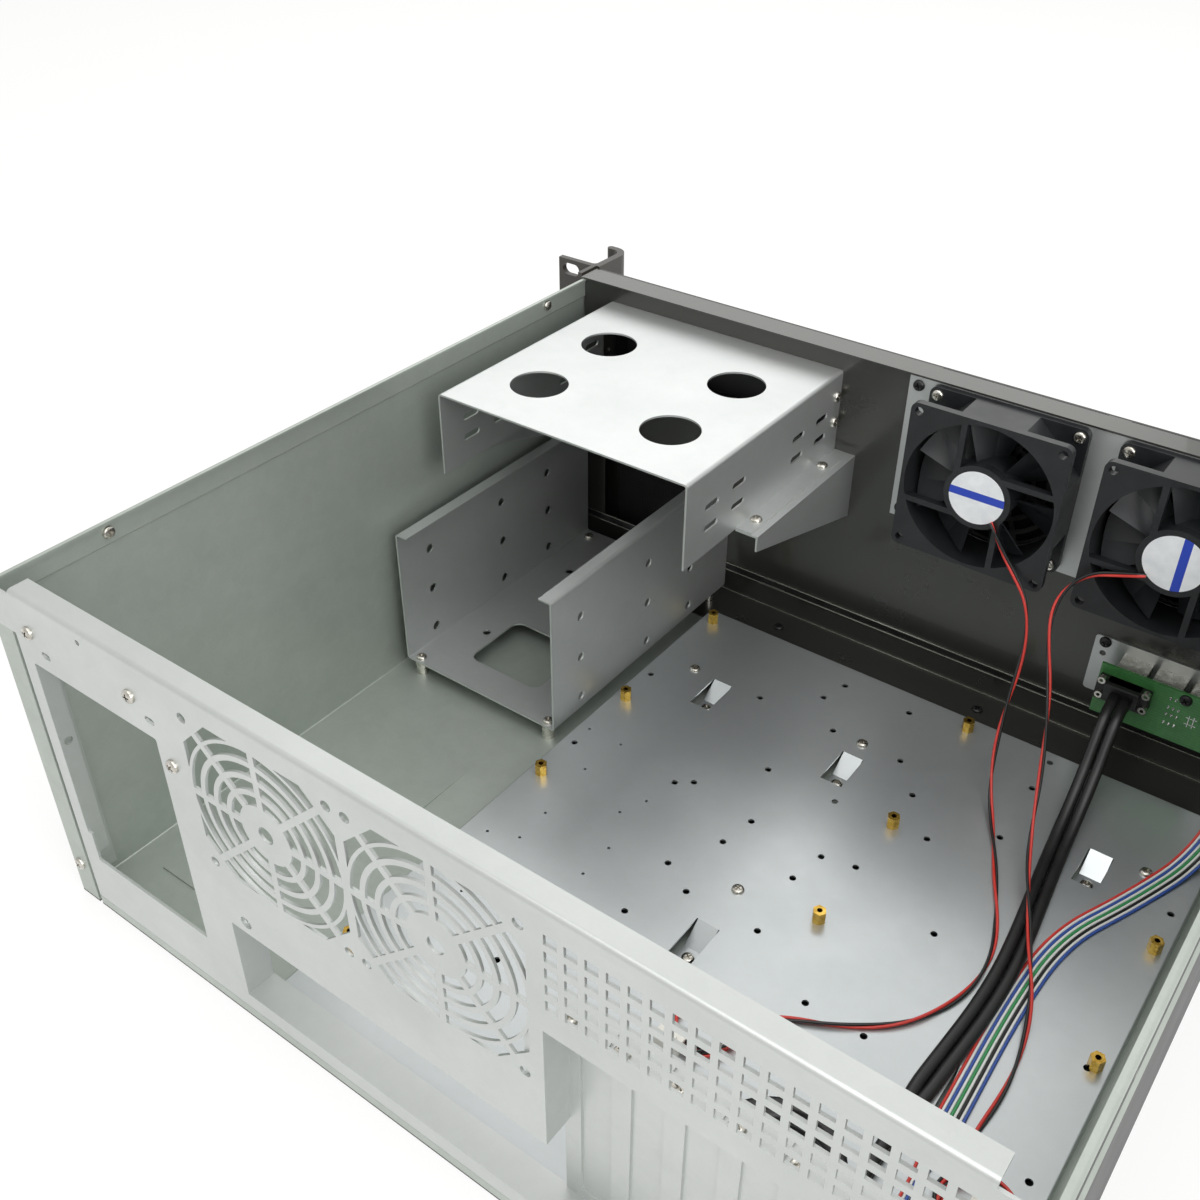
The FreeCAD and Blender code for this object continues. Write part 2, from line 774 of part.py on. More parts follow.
def rear_panel():
    body = new_body("rear_panel_sheet")
    face = facing_y(body, S.rear_face)
    polygon(face,
            (panel_left, panel_bottom), (panel_right, panel_bottom),
            (panel_right, S.return_height), (corner_half, S.return_height),
            (corner_half, S.corner_height), (S.top_flange_half, S.corner_height),
            (S.top_flange_half, S.body_height), (-S.top_flange_half, S.body_height),
            (-S.top_flange_half, S.corner_height), (-corner_half, S.corner_height),
            (-corner_half, S.return_height), (panel_left, S.return_height))
    pad(face, S.sheet)
    fold = facing_x(body, -S.top_flange_half)
    edge = S.rear_face - S.top_flange_depth
    under = S.body_height - S.sheet
    polygon(fold, (edge, under), (rear_inner - S.bend, under), (rear_inner, under - S.bend),
            (S.rear_face - S.sheet / 2, under - S.bend), (S.rear_face - S.sheet / 2, S.body_height),
            (edge, S.body_height))
    pad(fold, S.top_flange_half * 2)
    round_edges(body, S.rear_face, S.body_height, bend_outer)
    # flanges that hang beside the walls and hold the panel to them
    sides = flat(body, panel_bottom)
    flange_front = rear_inner - S.side_flange_depth
    for side in (-1, 1):
        rectangle(sides, wall_inner * side, flange_front, (wall_inner - S.sheet) * side, rear_inner)
    pad(sides, joggle_end - panel_bottom - S.rear_clearance)
    psu = facing_y(body, rear_inner + S.sheet / 2)
    psu_right = S.psu_left + S.psu_width
    psu_top = S.psu_bottom + S.psu_height
    jog = psu_right - S.psu_jog
    polygon(psu, (S.psu_left, S.psu_bottom, 1), (jog, S.psu_bottom), (jog, S.psu_jog_top),
            (psu_right, S.psu_jog_top), (psu_right, psu_top, 1), (S.psu_left, psu_top, 1))
    connector_opening(psu, 0)
    for x, z in rear_slot_spots:
        slot(psu, x, z, S.rear_slot_length, S.rear_slot_width)
    circle(psu, S.rear_pin_x, S.corner_height - S.rear_pin_drop, S.rear_pin_hole)
    for x, z in rear_screws[:3]:
        circle(psu, x, z, S.screw_hole)
    circle(psu, *pan_fixing, S.screw_head)
    cut(psu, S.sheet * 3)
    cheek = flat(body, S.psu_jog_bottom)
    cheek_front = S.rear_face - S.psu_flange_depth
    rectangle(cheek, psu_right, cheek_front, psu_right + S.sheet, rear_inner)
    pad(cheek, psu_top - S.psu_jog_bottom)
    hole = facing_x(body, psu_right + S.sheet / 2)
    circle(hole, S.rear_face - S.psu_flange_depth / 2, S.psu_flange_hole_height, S.psu_flange_hole)
    cut(hole, S.sheet * 3)
    cutters = []
    for number in range(2):
        cutters += grille_cutter(f"grille{number}", S.grille_first - S.grille_pitch * number)
    vent = box("vent_hole", 0, 0, 0, S.vent_width, S.sheet * 4, S.vent_high)
    spots = [(-S.vent_start - S.vent_pitch * column - S.vent_width, rear_inner - S.sheet,
              S.vent_top - S.vent_pitch * row - S.vent_high)
             for column in range(SIZES["vent_columns"]) for row in range(SIZES["vent_rows"])]
    cutters += copies(vent, "vent", spots)
    tools = combine("Compound", "rear_cuts", *cutters)
    return keep(combine("Cut", "rear_panel", body, tools), "rear_panel")


def round_edges(body, y, z, radius):
    # Rounds the long edge that runs along X at the given height and depth.
    doc.recompute()
    tip = body.Tip
    names = []
    for number, edge in enumerate(tip.Shape.Edges, start=1):
        ends = [vertex.Point for vertex in edge.Vertexes]
        level = all(abs(end.y - y.value) < 0.01 and abs(end.z - z.value) < 0.01 for end in ends)
        if level and edge.Length > 1:
            names.append(f"Edge{number}")
    fillet = body.newObject("PartDesign::Fillet", f"{body.Name}_bend")
    fillet.Base = (tip, names)
    bind(fillet, Radius=radius)
    return fillet


slot_columns = [-S.slot_first - S.slot_pitch * number for number in range(7)]
cover_rear = rear_inner - S.recess - S.thin_sheet
cover_screw_y = rear_inner - S.recess / 2


def io_slot_pan():
    body = new_body("io_slot_pan")
    wall = facing_y(body, rear_inner)
    connector_opening(wall, S.thin_sheet)
    pad(wall, S.recess + S.thin_sheet)
    flange = facing_y(body, rear_inner)
    edge = S.thin_sheet / 2
    polygon(flange,
            (io_left + edge, opening_top + edge), (S.io_edge + edge, opening_top + edge),
            (S.io_edge + edge, S.io_bottom), (S.io_edge + S.pan_flange, S.io_bottom),
            (S.io_edge + S.pan_flange, opening_top + S.pan_flange),
            (io_left + S.pan_flange, opening_top + S.pan_flange),
            (io_left + S.pan_flange, S.slot_top - S.pan_flange),
            (io_left + edge, S.slot_top - S.pan_flange))
    pad(flange, S.thin_sheet)
    hollow = facing_y(body, rear_inner)
    connector_opening(hollow, 0)
    cut(hollow, S.recess * 2)
    openings = facing_y(body, cover_rear + S.thin_sheet / 2)
    rectangle(openings, io_left + S.slot_wall, S.io_bottom, S.io_edge, opening_top)
    for column in slot_columns:
        rectangle(openings, column - S.slot_open_width / 2, S.slot_open_bottom,
                  column + S.slot_open_width / 2, S.slot_top - S.pan_flange)
    cut(openings, S.thin_sheet * 3)
    holes = flat(body, S.slot_top - S.thin_sheet / 2)
    for column in slot_columns:
        circle(holes, column + S.cover_screw_offset, cover_screw_y, S.screw_hole)
    cut(holes, S.thin_sheet * 3)
    fixing = facing_y(body, rear_inner - S.thin_sheet / 2)
    circle(fixing, *pan_fixing, S.screw_hole)
    cut(fixing, S.thin_sheet * 3)
    return keep(body, "io_slot_pan")


def slot_cover(number, column):
    body = new_body(f"slot_cover_{number}")
    wide = S.cover_width / 2
    narrow = S.cover_foot_width / 2
    top = S.slot_top + S.cover_sheet
    plate = facing_y(body, cover_rear)
    polygon(plate,
            (column - narrow, S.cover_foot_bottom), (column + narrow, S.cover_foot_bottom),
            (column + narrow, S.cover_shoulder - S.cover_taper),
            (column + wide, S.cover_shoulder), (column + wide, top), (column - wide, top),
            (column - wide, S.cover_shoulder), (column - narrow, S.cover_shoulder - S.cover_taper))
    pad(plate, S.cover_sheet)
    tab = flat(body, S.slot_top)
    rectangle(tab, column - wide, cover_rear - S.cover_sheet / 2, column + wide,
              rear_inner - S.rear_clearance)
    pad(tab, S.cover_sheet)
    hole = flat(body, S.slot_top + S.cover_sheet / 2)
    circle(hole, column + S.cover_screw_offset, cover_screw_y, S.screw_hole)
    cut(hole, S.cover_sheet * 3)
    return keep(body, body.Name)


def screw_group(label, source, spots_by_axis):
    # One screw, repeated at each (x, y, z) seat; the axis is the way its head points.
    links = []
    for axis, spots in spots_by_axis:
        links += copies(source, label, spots, axis)
    return keep(combine("Compound", label, *links), label)


# ---- motherboard tray ----

tray_under = S.tray_top - S.thin_sheet


def motherboard_tray():
    body = new_body("motherboard_tray")
    plate = flat(body, tray_under)
    edges = (-S.tray_left, -S.tray_front, S.tray_right, S.tray_rear)
    rectangle(plate, *edges)
    pad(plate, S.thin_sheet)
    round_top(body, S.tray_top, S.bend)
    skirt = flat(body, S.sheet)
    rectangle(skirt, *edges)
    inside = S.thin_sheet
    rectangle(skirt, edges[0] + inside, edges[1] + inside, edges[2] - inside, edges[3] - inside)
    pad(skirt, tray_under - S.sheet + S.thin_sheet * 0.2)
    holes = flat(body, S.tray_top - S.thin_sheet / 2)
    for x, rear in foot_spots:
        rectangle(holes, x - S.foot_width / 2, rear - S.foot_length, x + S.foot_width / 2, rear)
    for x, y in standoff_spots + tray_plate_screws:
        circle(holes, x, y, S.screw_hole)
    for x, y in BOARD_HOLES:
        circle(holes, x, y, S.tray_hole)
    for x, y in PIN_HOLES:
        circle(holes, x, y, S.tray_pin_hole)
    cut(holes, S.thin_sheet * 3)
    leaf_half = S.foot_width / 2 - S.foot_gap
    for x, rear in foot_spots:
        front = rear - S.foot_length
        knee = front + S.foot_run
        leaf = facing_x(body, x - leaf_half)
        polygon(leaf, (front - S.thin_sheet / 2, tray_under), (front, tray_under), (knee, S.sheet),
                (rear - S.foot_gap, S.sheet), (rear - S.foot_gap, S.sheet + S.thin_sheet),
                (knee, S.sheet + S.thin_sheet), (front, S.tray_top),
                (front - S.thin_sheet / 2, S.tray_top))
        pad(leaf, leaf_half * 2)
    foot_holes = flat(body, S.sheet + S.thin_sheet / 2)
    for x, y in foot_screws:
        circle(foot_holes, x, y, S.screw_hole)
    cut(foot_holes, S.thin_sheet * 3)
    return keep(body, "motherboard_tray")


def round_top(body, height, radius):
    doc.recompute()
    tip = body.Tip
    names = []
    for number, edge in enumerate(tip.Shape.Edges, start=1):
        if all(abs(vertex.Point.z - height.value) < 0.01 for vertex in edge.Vertexes):
            names.append(f"Edge{number}")
    fillet = body.newObject("PartDesign::Fillet", f"{body.Name}_bend")
    fillet.Base = (tip, names)
    bind(fillet, Radius=radius)
    return fillet


def standoffs():
    body = new_body("standoff")
    hexagon = flat(body, 0)
    reach = S.standoff_flats / math.sqrt(3)
    polygon(hexagon, *[(reach * math.cos(math.radians(60 * k)), reach * math.sin(math.radians(60 * k)))
                       for k in range(6)])
    pad(hexagon, S.standoff_height)
    spigot = flat(body, -S.thin_sheet - S.stud_tip)
    circle(spigot, 0, 0, S.screw_hole - S.screw_play)
    pad(spigot, S.thin_sheet * 2 + S.stud_tip)
    bore = flat(body, 0)
    circle(bore, 0, 0, S.standoff_bore)
    cut(bore, S.standoff_height * 3)
    return screw_group("standoffs", body, [
        ((0, 0, 1), [(x, y, S.tray_top) for x, y in standoff_spots])])


# ---- drive cages ----

def hdd_cage():
    body = new_body("hdd_cage")
    section = facing_y(body, -S.hdd_rear)
    thin = S.thin_sheet
    right = (
        (hdd_left, S.hdd_floor, bend_outer), (hdd_left, S.hdd_top, bend_outer),
        (hdd_left - S.hdd_lip, S.hdd_top), (hdd_left - S.hdd_lip, S.hdd_top - thin),
        (hdd_left - thin, S.hdd_top - thin, S.bend), (hdd_left - thin, S.hdd_floor + thin, S.bend))
    middle = S.hdd_right + S.hdd_width / 2
    left = [(middle * 2 - corner[0],) + corner[1:] for corner in reversed(right)]
    polygon(section, *right, *left)
    pad(section, S.hdd_length)
    walls = facing_x(body, middle)
    for y in hdd_wall_columns:
        for number in range(3):
            circle(walls, y, S.hdd_row_first + S.hdd_row_step * number, S.hdd_hole)
    cut(walls, S.hdd_width * 2)
    floor = flat(body, S.hdd_floor + thin / 2)
    window_right = middle - S.hdd_window_width / 2
    window_rear = -S.hdd_rear - S.hdd_window_inset
    rectangle(floor, window_right, window_rear - S.hdd_window_length,
              window_right + S.hdd_window_width, window_rear, S.hdd_window_round)
    for x, y in post_spots:
        circle(floor, x, y, S.screw_hole)
    for y in hdd_floor_rows:
        circle(floor, hdd_left - S.hdd_lip * 2.6, y, S.hdd_hole * 0.9)
        circle(floor, S.hdd_right + S.hdd_lip * 2.6, y, S.hdd_hole * 0.9)
    cut(floor, thin * 3)
    return keep(body, "hdd_cage")


def hdd_cage_posts():
    body = new_body("hdd_post")
    radius = S.post_diameter / 2
    bore = S.screw_hole / 2
    turned(body, ((bore, 0), (radius, 0), (radius, S.hdd_floor - S.sheet), (bore, S.hdd_floor - S.sheet)))
    return screw_group("hdd_cage_posts", body, [((0, 0, 1), [(x, y, S.sheet) for x, y in post_spots])])


bay_left = S.bay_right + S.bay_width
bay_screw_rows = (-95.5, -161.8)
bay_flange_columns = (S.bay_right - S.bay_flange / 2, bay_left + S.bay_flange / 2)
flange_under = S.bay_bottom - S.thin_sheet
bay_front_screws = [(-179.1, 152.1), (-179.1, 137.5)]
bay_hole_columns = (160.2, 80.1)
bay_hole_rows = (-76.5, -136)
bay_slot_rows = (-60.2, -84, -140.4, -164.4)
bay_slot_heights = (145.2, 133.7)


def optical_cage():
    body = new_body("optical_cage")
    section = facing_y(body, -S.bay_rear)
    thin = S.thin_sheet
    polygon(section,
            (S.bay_right, flange_under), (S.bay_right, S.bay_top, bend_outer),
            (bay_left, S.bay_top, bend_outer), (bay_left, flange_under),
            (bay_left - thin, flange_under), (bay_left - thin, S.bay_top - thin, S.bend),
            (S.bay_right + thin, S.bay_top - thin, S.bend), (S.bay_right + thin, flange_under))
    pad(section, S.front_wall_rear - S.bay_rear)
    feet = flat(body, flange_under)
    rectangle(feet, S.bay_right - S.bay_flange, -S.front_wall_rear + S.bay_flange,
              S.bay_right + thin / 2, -S.bracket_rear)
    rectangle(feet, bay_left - thin / 2, -S.front_wall_rear + S.bay_flange,
              bay_left + S.bay_flange, -S.bracket_rear)
    pad(feet, thin)
    top = flat(body, S.bay_top - thin / 2)
    for x in bay_hole_columns:
        for y in bay_hole_rows:
            circle(top, x, y, S.bay_hole)
    cut(top, thin * 3)
    walls = facing_x(body, S.bay_right + S.bay_width / 2)
    for y in bay_slot_rows:
        for z in bay_slot_heights:
            slot(walls, y, z, S.bay_slot_length, S.bay_slot_width)
    for y, z in bay_front_screws:
        circle(walls, y, z, S.screw_hole)
    cut(walls, S.bay_width * 2)
    holes = flat(body, flange_under + thin / 2)
    for x in bay_flange_columns:
        for y in bay_screw_rows:
            circle(holes, x, y, S.screw_hole)
    cut(holes, thin * 3)
    return keep(body, "optical_cage")


def cage_bracket(label, flange_edge, web_face, side):
    # A bracket of the front wall that carries one foot flange of the bay cage.
    body = new_body(label)
    thin = S.thin_sheet
    top = flange_under
    front = -S.front_wall_rear
    web = facing_x(body, web_face if side > 0 else web_face - thin)
    polygon(web, (-S.bracket_rear, top), (-S.bracket_rear, top - S.bracket_drop_rear),
            (front, top - S.bracket_drop_front), (front, top))
    pad(web, thin)
    flange = flat(body, top - thin)
    rectangle(flange, web_face, front, flange_edge, -S.bracket_rear)
    pad(flange, thin)
    foot = facing_y(body, front + thin)
    polygon(foot, (web_face, top - S.bracket_drop_front), (web_face, top), (flange_edge, top),
            (flange_edge, top - S.bracket_drop_front))
    pad(foot, thin)
    holes = flat(body, top - thin / 2)
    column = (S.bay_right - S.bay_flange / 2) if side > 0 else (bay_left + S.bay_flange / 2)
    for y in bay_screw_rows:
        circle(holes, column, y, S.screw_hole)
    cut(holes, thin * 3)
    return keep(body, label)


# ---- front ----

wall_front = S.front_wall_rear + S.thin_sheet
fan_columns = (-S.fan_first, -S.fan_first - S.fan_step)
plate_rear = S.front_wall_rear - S.thin_sheet
fan_rear = plate_rear - S.fan_thickness
fan_plate_left = S.fan_plate_right - S.fan_plate_width
io_plate_left = S.io_plate_right + S.io_plate_width
usb_columns = (-S.usb_first, -S.usb_first - S.usb_pitch)
jack_columns = (-S.jack_first, -S.jack_first - S.jack_pitch)
button_x = -S.button_column
board_front = S.front_face - S.board_standback
fan_plate_screws = [(S.fan_plate_right - S.plate_screw_inset, S.fan_plate_top - S.plate_screw_drop),
                    (S.fan_plate_right - S.plate_screw_inset, S.fan_plate_bottom + S.plate_screw_inset),
                    (fan_plate_left + S.plate_screw_inset, S.fan_plate_top - S.plate_screw_drop),
                    (fan_plate_left + S.plate_screw_inset, S.fan_plate_bottom + S.plate_screw_inset)]
io_plate_top = S.io_plate_bottom + S.io_plate_height
io_plate_screws = [(-S.io_plate_right - S.plate_screw_inset, io_plate_top - 3),
                   (-io_plate_left + S.plate_screw_inset, io_plate_top - 3)]


def front_wall():
    body = new_body("front_wall")
    thin = S.thin_sheet
    inside = band_inner - S.side_clearance
    plate = facing_y(body, -S.front_wall_rear)
    under_lip = lip_under - S.side_clearance
    beside_lip = lip_edge - S.side_clearance
    right = ((inside, S.sheet), (inside, under_lip), (beside_lip, under_lip), (beside_lip, S.wall_height))
    polygon(plate, *right, *[(-x, z) for x, z in reversed(right)])
    pad(plate, thin)
    cap = flat(body, S.wall_height)
    rectangle(cap, -band_outer, -front_inner, band_outer, -S.front_wall_rear + S.front_wall_lip)
    pad(cap, thin)
    foot = flat(body, S.sheet)
    rectangle(foot, -inside, -wall_front + thin / 2, inside, -S.tray_front - S.foot_gap)
    pad(foot, thin)
    tabs = facing_y(body, -S.front_wall_rear + S.bay_flange)
    for left in (S.bay_right + thin, bay_left - thin * 2):
        rectangle(tabs, left, S.wall_tab_bottom, left + thin, S.wall_tab_top)
    pad(tabs, S.bay_flange + thin / 2)
    openings = facing_y(body, -S.front_wall_rear - thin / 2)
    rectangle(openings, S.bay_right + thin * 2, S.bay_bottom, bay_left - thin * 2, S.bay_top - thin * 2)
    margin = S.wall_window_margin
    rectangle(openings, S.hdd_right + margin, S.hdd_floor + margin, hdd_left - margin,
              S.hdd_top - margin)
    for x in fan_columns:
        circle(openings, x, S.fan_height, S.fan_bore)
    rectangle(openings, -io_plate_left + margin, S.usb_centre_height - S.io_window_drop,
              -S.io_plate_right - margin, io_plate_top - S.io_window_top)
    circle(openings, button_x, S.lead_hole_height, S.lead_hole)
    for x, z in fan_plate_screws + io_plate_screws:
        circle(openings, x, z, S.screw_hole)
    cut(openings, thin * 3)
    tab_holes = facing_x(body, S.bay_right + S.bay_width / 2)
    for y, z in bay_front_screws:
        circle(tab_holes, y, z, S.screw_hole)
    cut(tab_holes, S.bay_width * 1.05)
    foot_holes = flat(body, S.sheet + thin / 2)
    for x, y in front_floor_holes:
        circle(foot_holes, x, y, S.screw_hole)
    for x, y in post_spots[2:]:
        circle(foot_holes, x, y, S.post_diameter + S.foot_gap)
    cut(foot_holes, thin * 3)
    return keep(body, "front_wall")


def bezel_vents():
    # Rows of round-ended vents before each fan and the hard drives, as cutters.
    body = new_body("bezel_vent")
    drawing = facing_y(body, S.bezel_sheet)
    slot(drawing, 0, 0, S.fan_bore, S.bezel_vent_width)
    pad(drawing, S.bezel_sheet * 4)
    rows = SIZES["bezel_vent_rows"]
    hdd_middle = (S.hdd_right + hdd_left) / 2, (S.hdd_floor + S.hdd_top) / 2
    spots = [(x, -front_inner, z + S.bezel_vent_pitch * (number - (rows - 1) / 2))
             for x, z in [(x, S.fan_height) for x in fan_columns] + [hdd_middle]
             for number in range(rows)]
    return copies(body, "bezel_vent", spots)


def front_bezel():
    body = new_body("front_bezel_sheet")
    face = facing_y(body, -front_inner)
    rectangle(face, -half, 0, half, S.front_height)
    pad(face, S.bezel_sheet)
    openings = facing_y(body, -S.front_face + S.bezel_sheet / 2)
    rectangle(openings, S.bay_right + S.cover_inset, S.bay_bottom, bay_left - S.cover_inset,
              S.bay_top - S.cover_inset * 2)
    for x in usb_columns:
        rectangle(openings, x - S.usb_width / 2 - S.button_clearance,
                  S.usb_centre_height - S.usb_high / 2 - S.button_clearance,
                  x + S.usb_width / 2 + S.button_clearance,
                  S.usb_centre_height + S.usb_high / 2 + S.button_clearance)
    for x in jack_columns:
        circle(openings, x, S.usb_centre_height, S.jack_radius * 2 + S.button_clearance)
    for height, size in ((S.power_height, S.power_size), (S.reset_height, S.reset_size)):
        hole = size / 2 + S.button_clearance
        rectangle(openings, button_x - hole, height - hole, button_x + hole, height + hole)
    for number in range(3):
        circle(openings, button_x, S.led_first_height - S.led_pitch * number,
               S.led_diameter + S.screw_play)
    cut(openings, S.bezel_sheet * 3)
    studs = facing_y(body, -board_front)
    for x in (button_x - S.board_stud_inset, button_x + S.board_stud_inset):
        for z in (S.power_height + S.board_stud_rise,
                  S.led_first_height - S.led_pitch * 2 - S.board_stud_drop):
            circle(studs, x, z, S.screw_hole)
    pad(studs, S.board_standback - S.bezel_sheet / 2)
    vents = combine("Compound", "bezel_vents", *bezel_vents())
    return keep(combine("Cut", "front_bezel", body, vents), "front_bezel")


def bay_cover():
    body = new_body("bay_cover")
    face = facing_y(body, -S.front_face)
    overlap = S.cover_proud / 2
    rectangle(face, S.bay_right - overlap, S.bay_bottom - overlap, bay_left + overlap,
              S.bay_top + overlap, S.cover_proud)
    pad(face, S.cover_proud)
    skirt = facing_y(body, -S.front_face + S.cover_depth)
    inset = S.cover_inset * 2
    outer = (S.bay_right + inset, S.bay_bottom + S.cover_inset, bay_left - inset, S.bay_top - inset * 1.5)
    rectangle(skirt, *outer)
    thick = S.bezel_sheet
    rectangle(skirt, outer[0] + thick, outer[1] + thick, outer[2] - thick, outer[3] - thick)
    pad(skirt, S.cover_depth + thick / 2)
    return keep(body, "bay_cover")


def rack_ear(label, side):
    body = new_body(label)
    section = flat(body, 0)
    tip = S.ear_grip * 0.45
    leg_in = half - S.ear_leg_inset
    leg_out = leg_in + S.ear_grip
    plate_front = front_inner + S.ear_plate
    hook_front = S.front_face + S.ear_reach
    hook_back = hook_front - S.ear_grip
    hook_end = leg_in + S.ear_hook
    outline = [
        (half, -S.ear_leg_rear), (half + S.ear_leg, -S.ear_leg_rear),
        (half + S.ear_leg, -front_inner), (S.ear_half, -front_inner), (S.ear_half, -plate_front),
        (leg_out, -plate_front, S.ear_leg), (leg_out, -hook_back, S.ear_grip * 1.25),
        (hook_end, -hook_back, tip), (hook_end, -hook_front, tip),
        (leg_in, -hook_front, S.ear_grip * 2.25), (leg_in, -S.front_face), (half, -S.front_face)]
    polygon(section, *[(corner[0] * side,) + corner[1:] for corner in outline])
    pad(section, S.body_height)
    holes = facing_y(body, -front_inner - S.ear_plate / 2)
    for z in (S.rack_hole_inset, S.body_height - S.rack_hole_inset):
        slot(holes, S.rack_hole_half * side, z, S.rack_slot_length, S.rack_slot_width)
    cut(holes, S.ear_plate * 3)
    leg_holes = facing_x(body, (half + S.ear_leg / 2) * side)
    for y, z in ear_screw_spots:
        circle(leg_holes, y, z, S.screw_hole)
    cut(leg_holes, S.ear_leg * 2)
    return keep(body, label)


def fan_plate():
    body = new_body("fan_plate")
    face = facing_y(body, -plate_rear)
    rectangle(face, fan_plate_left, S.fan_plate_bottom, S.fan_plate_right, S.fan_plate_top)
    pad(face, S.thin_sheet)
    holes = facing_y(body, -plate_rear - S.thin_sheet / 2)
    for x in fan_columns:
        circle(holes, x, S.fan_height, S.fan_bore)
        for spot in square_spots(x, S.fan_height, S.fan_screw_half):
            circle(holes, *spot, S.screw_hole)
    for x, z in fan_plate_screws:
        circle(holes, x, z, S.screw_hole)
    cut(holes, S.thin_sheet * 3)
    return keep(body, "fan_plate")


def square_spots(x, z, reach):
    return [(x + reach * side, z + reach * up) for side in (-1, 1) for up in (-1, 1)]


def fan_frame(number, x):
    z = S.fan_height
    reach = S.fan_size / 2
    label = f"fan_frame_{number}"
    body = new_body(label)
    square = facing_y(body, -fan_rear)
    rectangle(square, x - reach, z - reach, x + reach, z + reach, S.fan_round)
    pad(square, S.fan_thickness)
    bore = facing_y(body, -fan_rear - S.fan_thickness / 2)
    circle(bore, x, z, S.fan_bore)
    for spot in square_spots(x, z, S.fan_screw_half):
        circle(bore, *spot, S.fan_screw_hole)
    cut(bore, S.fan_thickness * 1.2)
    waist = facing_y(body, -fan_rear - S.fan_thickness / 2)
    past = reach + S.fan_flange
    short = S.fan_waist
    for side in (-1, 1):
        for up in (-1, 1):
            polygon(waist, (x + past * side, z + past * up), (x + past * side, z + short * up),
                    (x + reach * side, z + short * up), (x + short * side, z + reach * up),
                    (x + short * side, z + past * up))
    cut(waist, S.fan_thickness - S.fan_flange * 2)
    hub = facing_y(body, -fan_rear)
    circle(hub, x, z, S.fan_hub_radius * 2)
    pad(hub, S.fan_hub_depth)
    motor = facing_y(body, -fan_rear)
    circle(motor, x, z, S.motor_radius * 2)
    pad(motor, S.fan_thickness - S.motor_front_gap)
    struts = facing_y(body, -fan_rear)
    near = S.fan_hub_radius * 0.3
    far = S.fan_bore / 2 + S.label_sheet * 2
    low = S.fan_hub_radius * 0.72 - S.fan_strut / 2
    high = low + S.fan_strut
    rectangle(struts, x + low, z + near, x + high, z + far)
    rectangle(struts, x - far, z + low, x - near, z + high)
    rectangle(struts, x - high, z - far, x - low, z - near)
    rectangle(struts, x + near, z - high, x + far, z - low)
    pad(struts, S.fan_hub_depth)
    shaft_hole = facing_y(body, -fan_rear - S.fan_thickness + S.motor_front_gap)
    circle(shaft_hole, x, z, S.pin_diameter + S.pin_play * 2)
    cut(shaft_hole, (S.fan_thickness - S.motor_front_gap - S.fan_hub_depth / 2) * 2)
    return keep(body, label)


def fan_blade():
    # One blade, pointing up from the axis, which is the body's own Y axis.
    body = new_body("fan_blade")
    sections = []
    root = S.rotor_hub_radius * 0.93, S.blade_root_half_chord, S.blade_root_half_depth
    end = S.rotor_tip_radius, S.blade_tip_half_chord, S.blade_tip_half_depth
    for height, half_chord, half_depth in (root, end):
        drawing = flat(body, height)
        camber = S.blade_camber
        thick = S.blade_sheet
        polygon(drawing, (-half_chord, -half_depth), (0, -camber), (half_chord, half_depth),
                (half_chord, half_depth + thick), (0, thick - camber), (-half_chord, thick - half_depth))
        settle(drawing)
        sections.append(drawing)
    loft = body.newObject("PartDesign::AdditiveLoft", "blade_loft")
    loft.Profile = sections[0]
    loft.Sections = sections[1:]
    loft.Ruled = True
    return body


def fan_rotor_form():
    # The rotor with its middle at the origin and its axis along Y, its cup open to the rear.
    body = new_body("rotor_cup")
    back = S.rotor_depth / 2
    cup = facing_y(body, back)
    circle(cup, 0, 0, S.rotor_hub_radius * 2)
    pad(cup, S.rotor_depth)
    hollow = facing_y(body, back)
    circle(hollow, 0, 0, (S.motor_radius + S.rotor_gap) * 2)
    cut(hollow, (S.rotor_depth - S.rotor_face) * 2)
    pin = facing_y(body, back + S.pin_reach)
    circle(pin, 0, 0, S.pin_diameter)
    pad(pin, S.rotor_depth + S.pin_reach - S.rotor_face / 2)
    blade = fan_blade()
    blades = []
    for number in range(SIZES["blade_count"]):
        link = doc.addObject("App::Link", "blade_copy")
        link.setLink(blade)
        turn = FreeCAD.Rotation(FreeCAD.Vector(0, 1, 0), 360 * number / SIZES["blade_count"])
        link.Placement = FreeCAD.Placement(FreeCAD.Vector(), turn)
        blades.append(link)
    trim = rod("blade_trim", 0, S.rotor_depth, 0, S.rotor_tip_radius, S.rotor_depth * 2, (0, -1, 0))
    trimmed = combine("Common", "trimmed_blades", combine("Compound", "all_blades", *blades), trim)
    return combine("MultiFuse", "rotor_form", body, trimmed)


def fan_rotor(number, x, form):
    link = doc.addObject("App::Link", f"rotor_{number}_copy")
    link.setLink(form)
    place(link, x, -rotor_middle, S.fan_height)
    return keep(combine("Compound", f"fan_rotor_{number}", link), f"fan_rotor_{number}")


rotor_middle = plate_rear - S.motor_front_gap + S.rotor_face + S.rotor_gap - S.rotor_depth / 2


def fan_label(number, x):
    body = new_body(f"fan_label_{number}")
    disc = facing_y(body, -fan_rear + S.label_sheet)
    circle(disc, x, S.fan_height, S.label_radius * 2)
    pad(disc, S.label_sheet)
    return keep(body, body.Name)


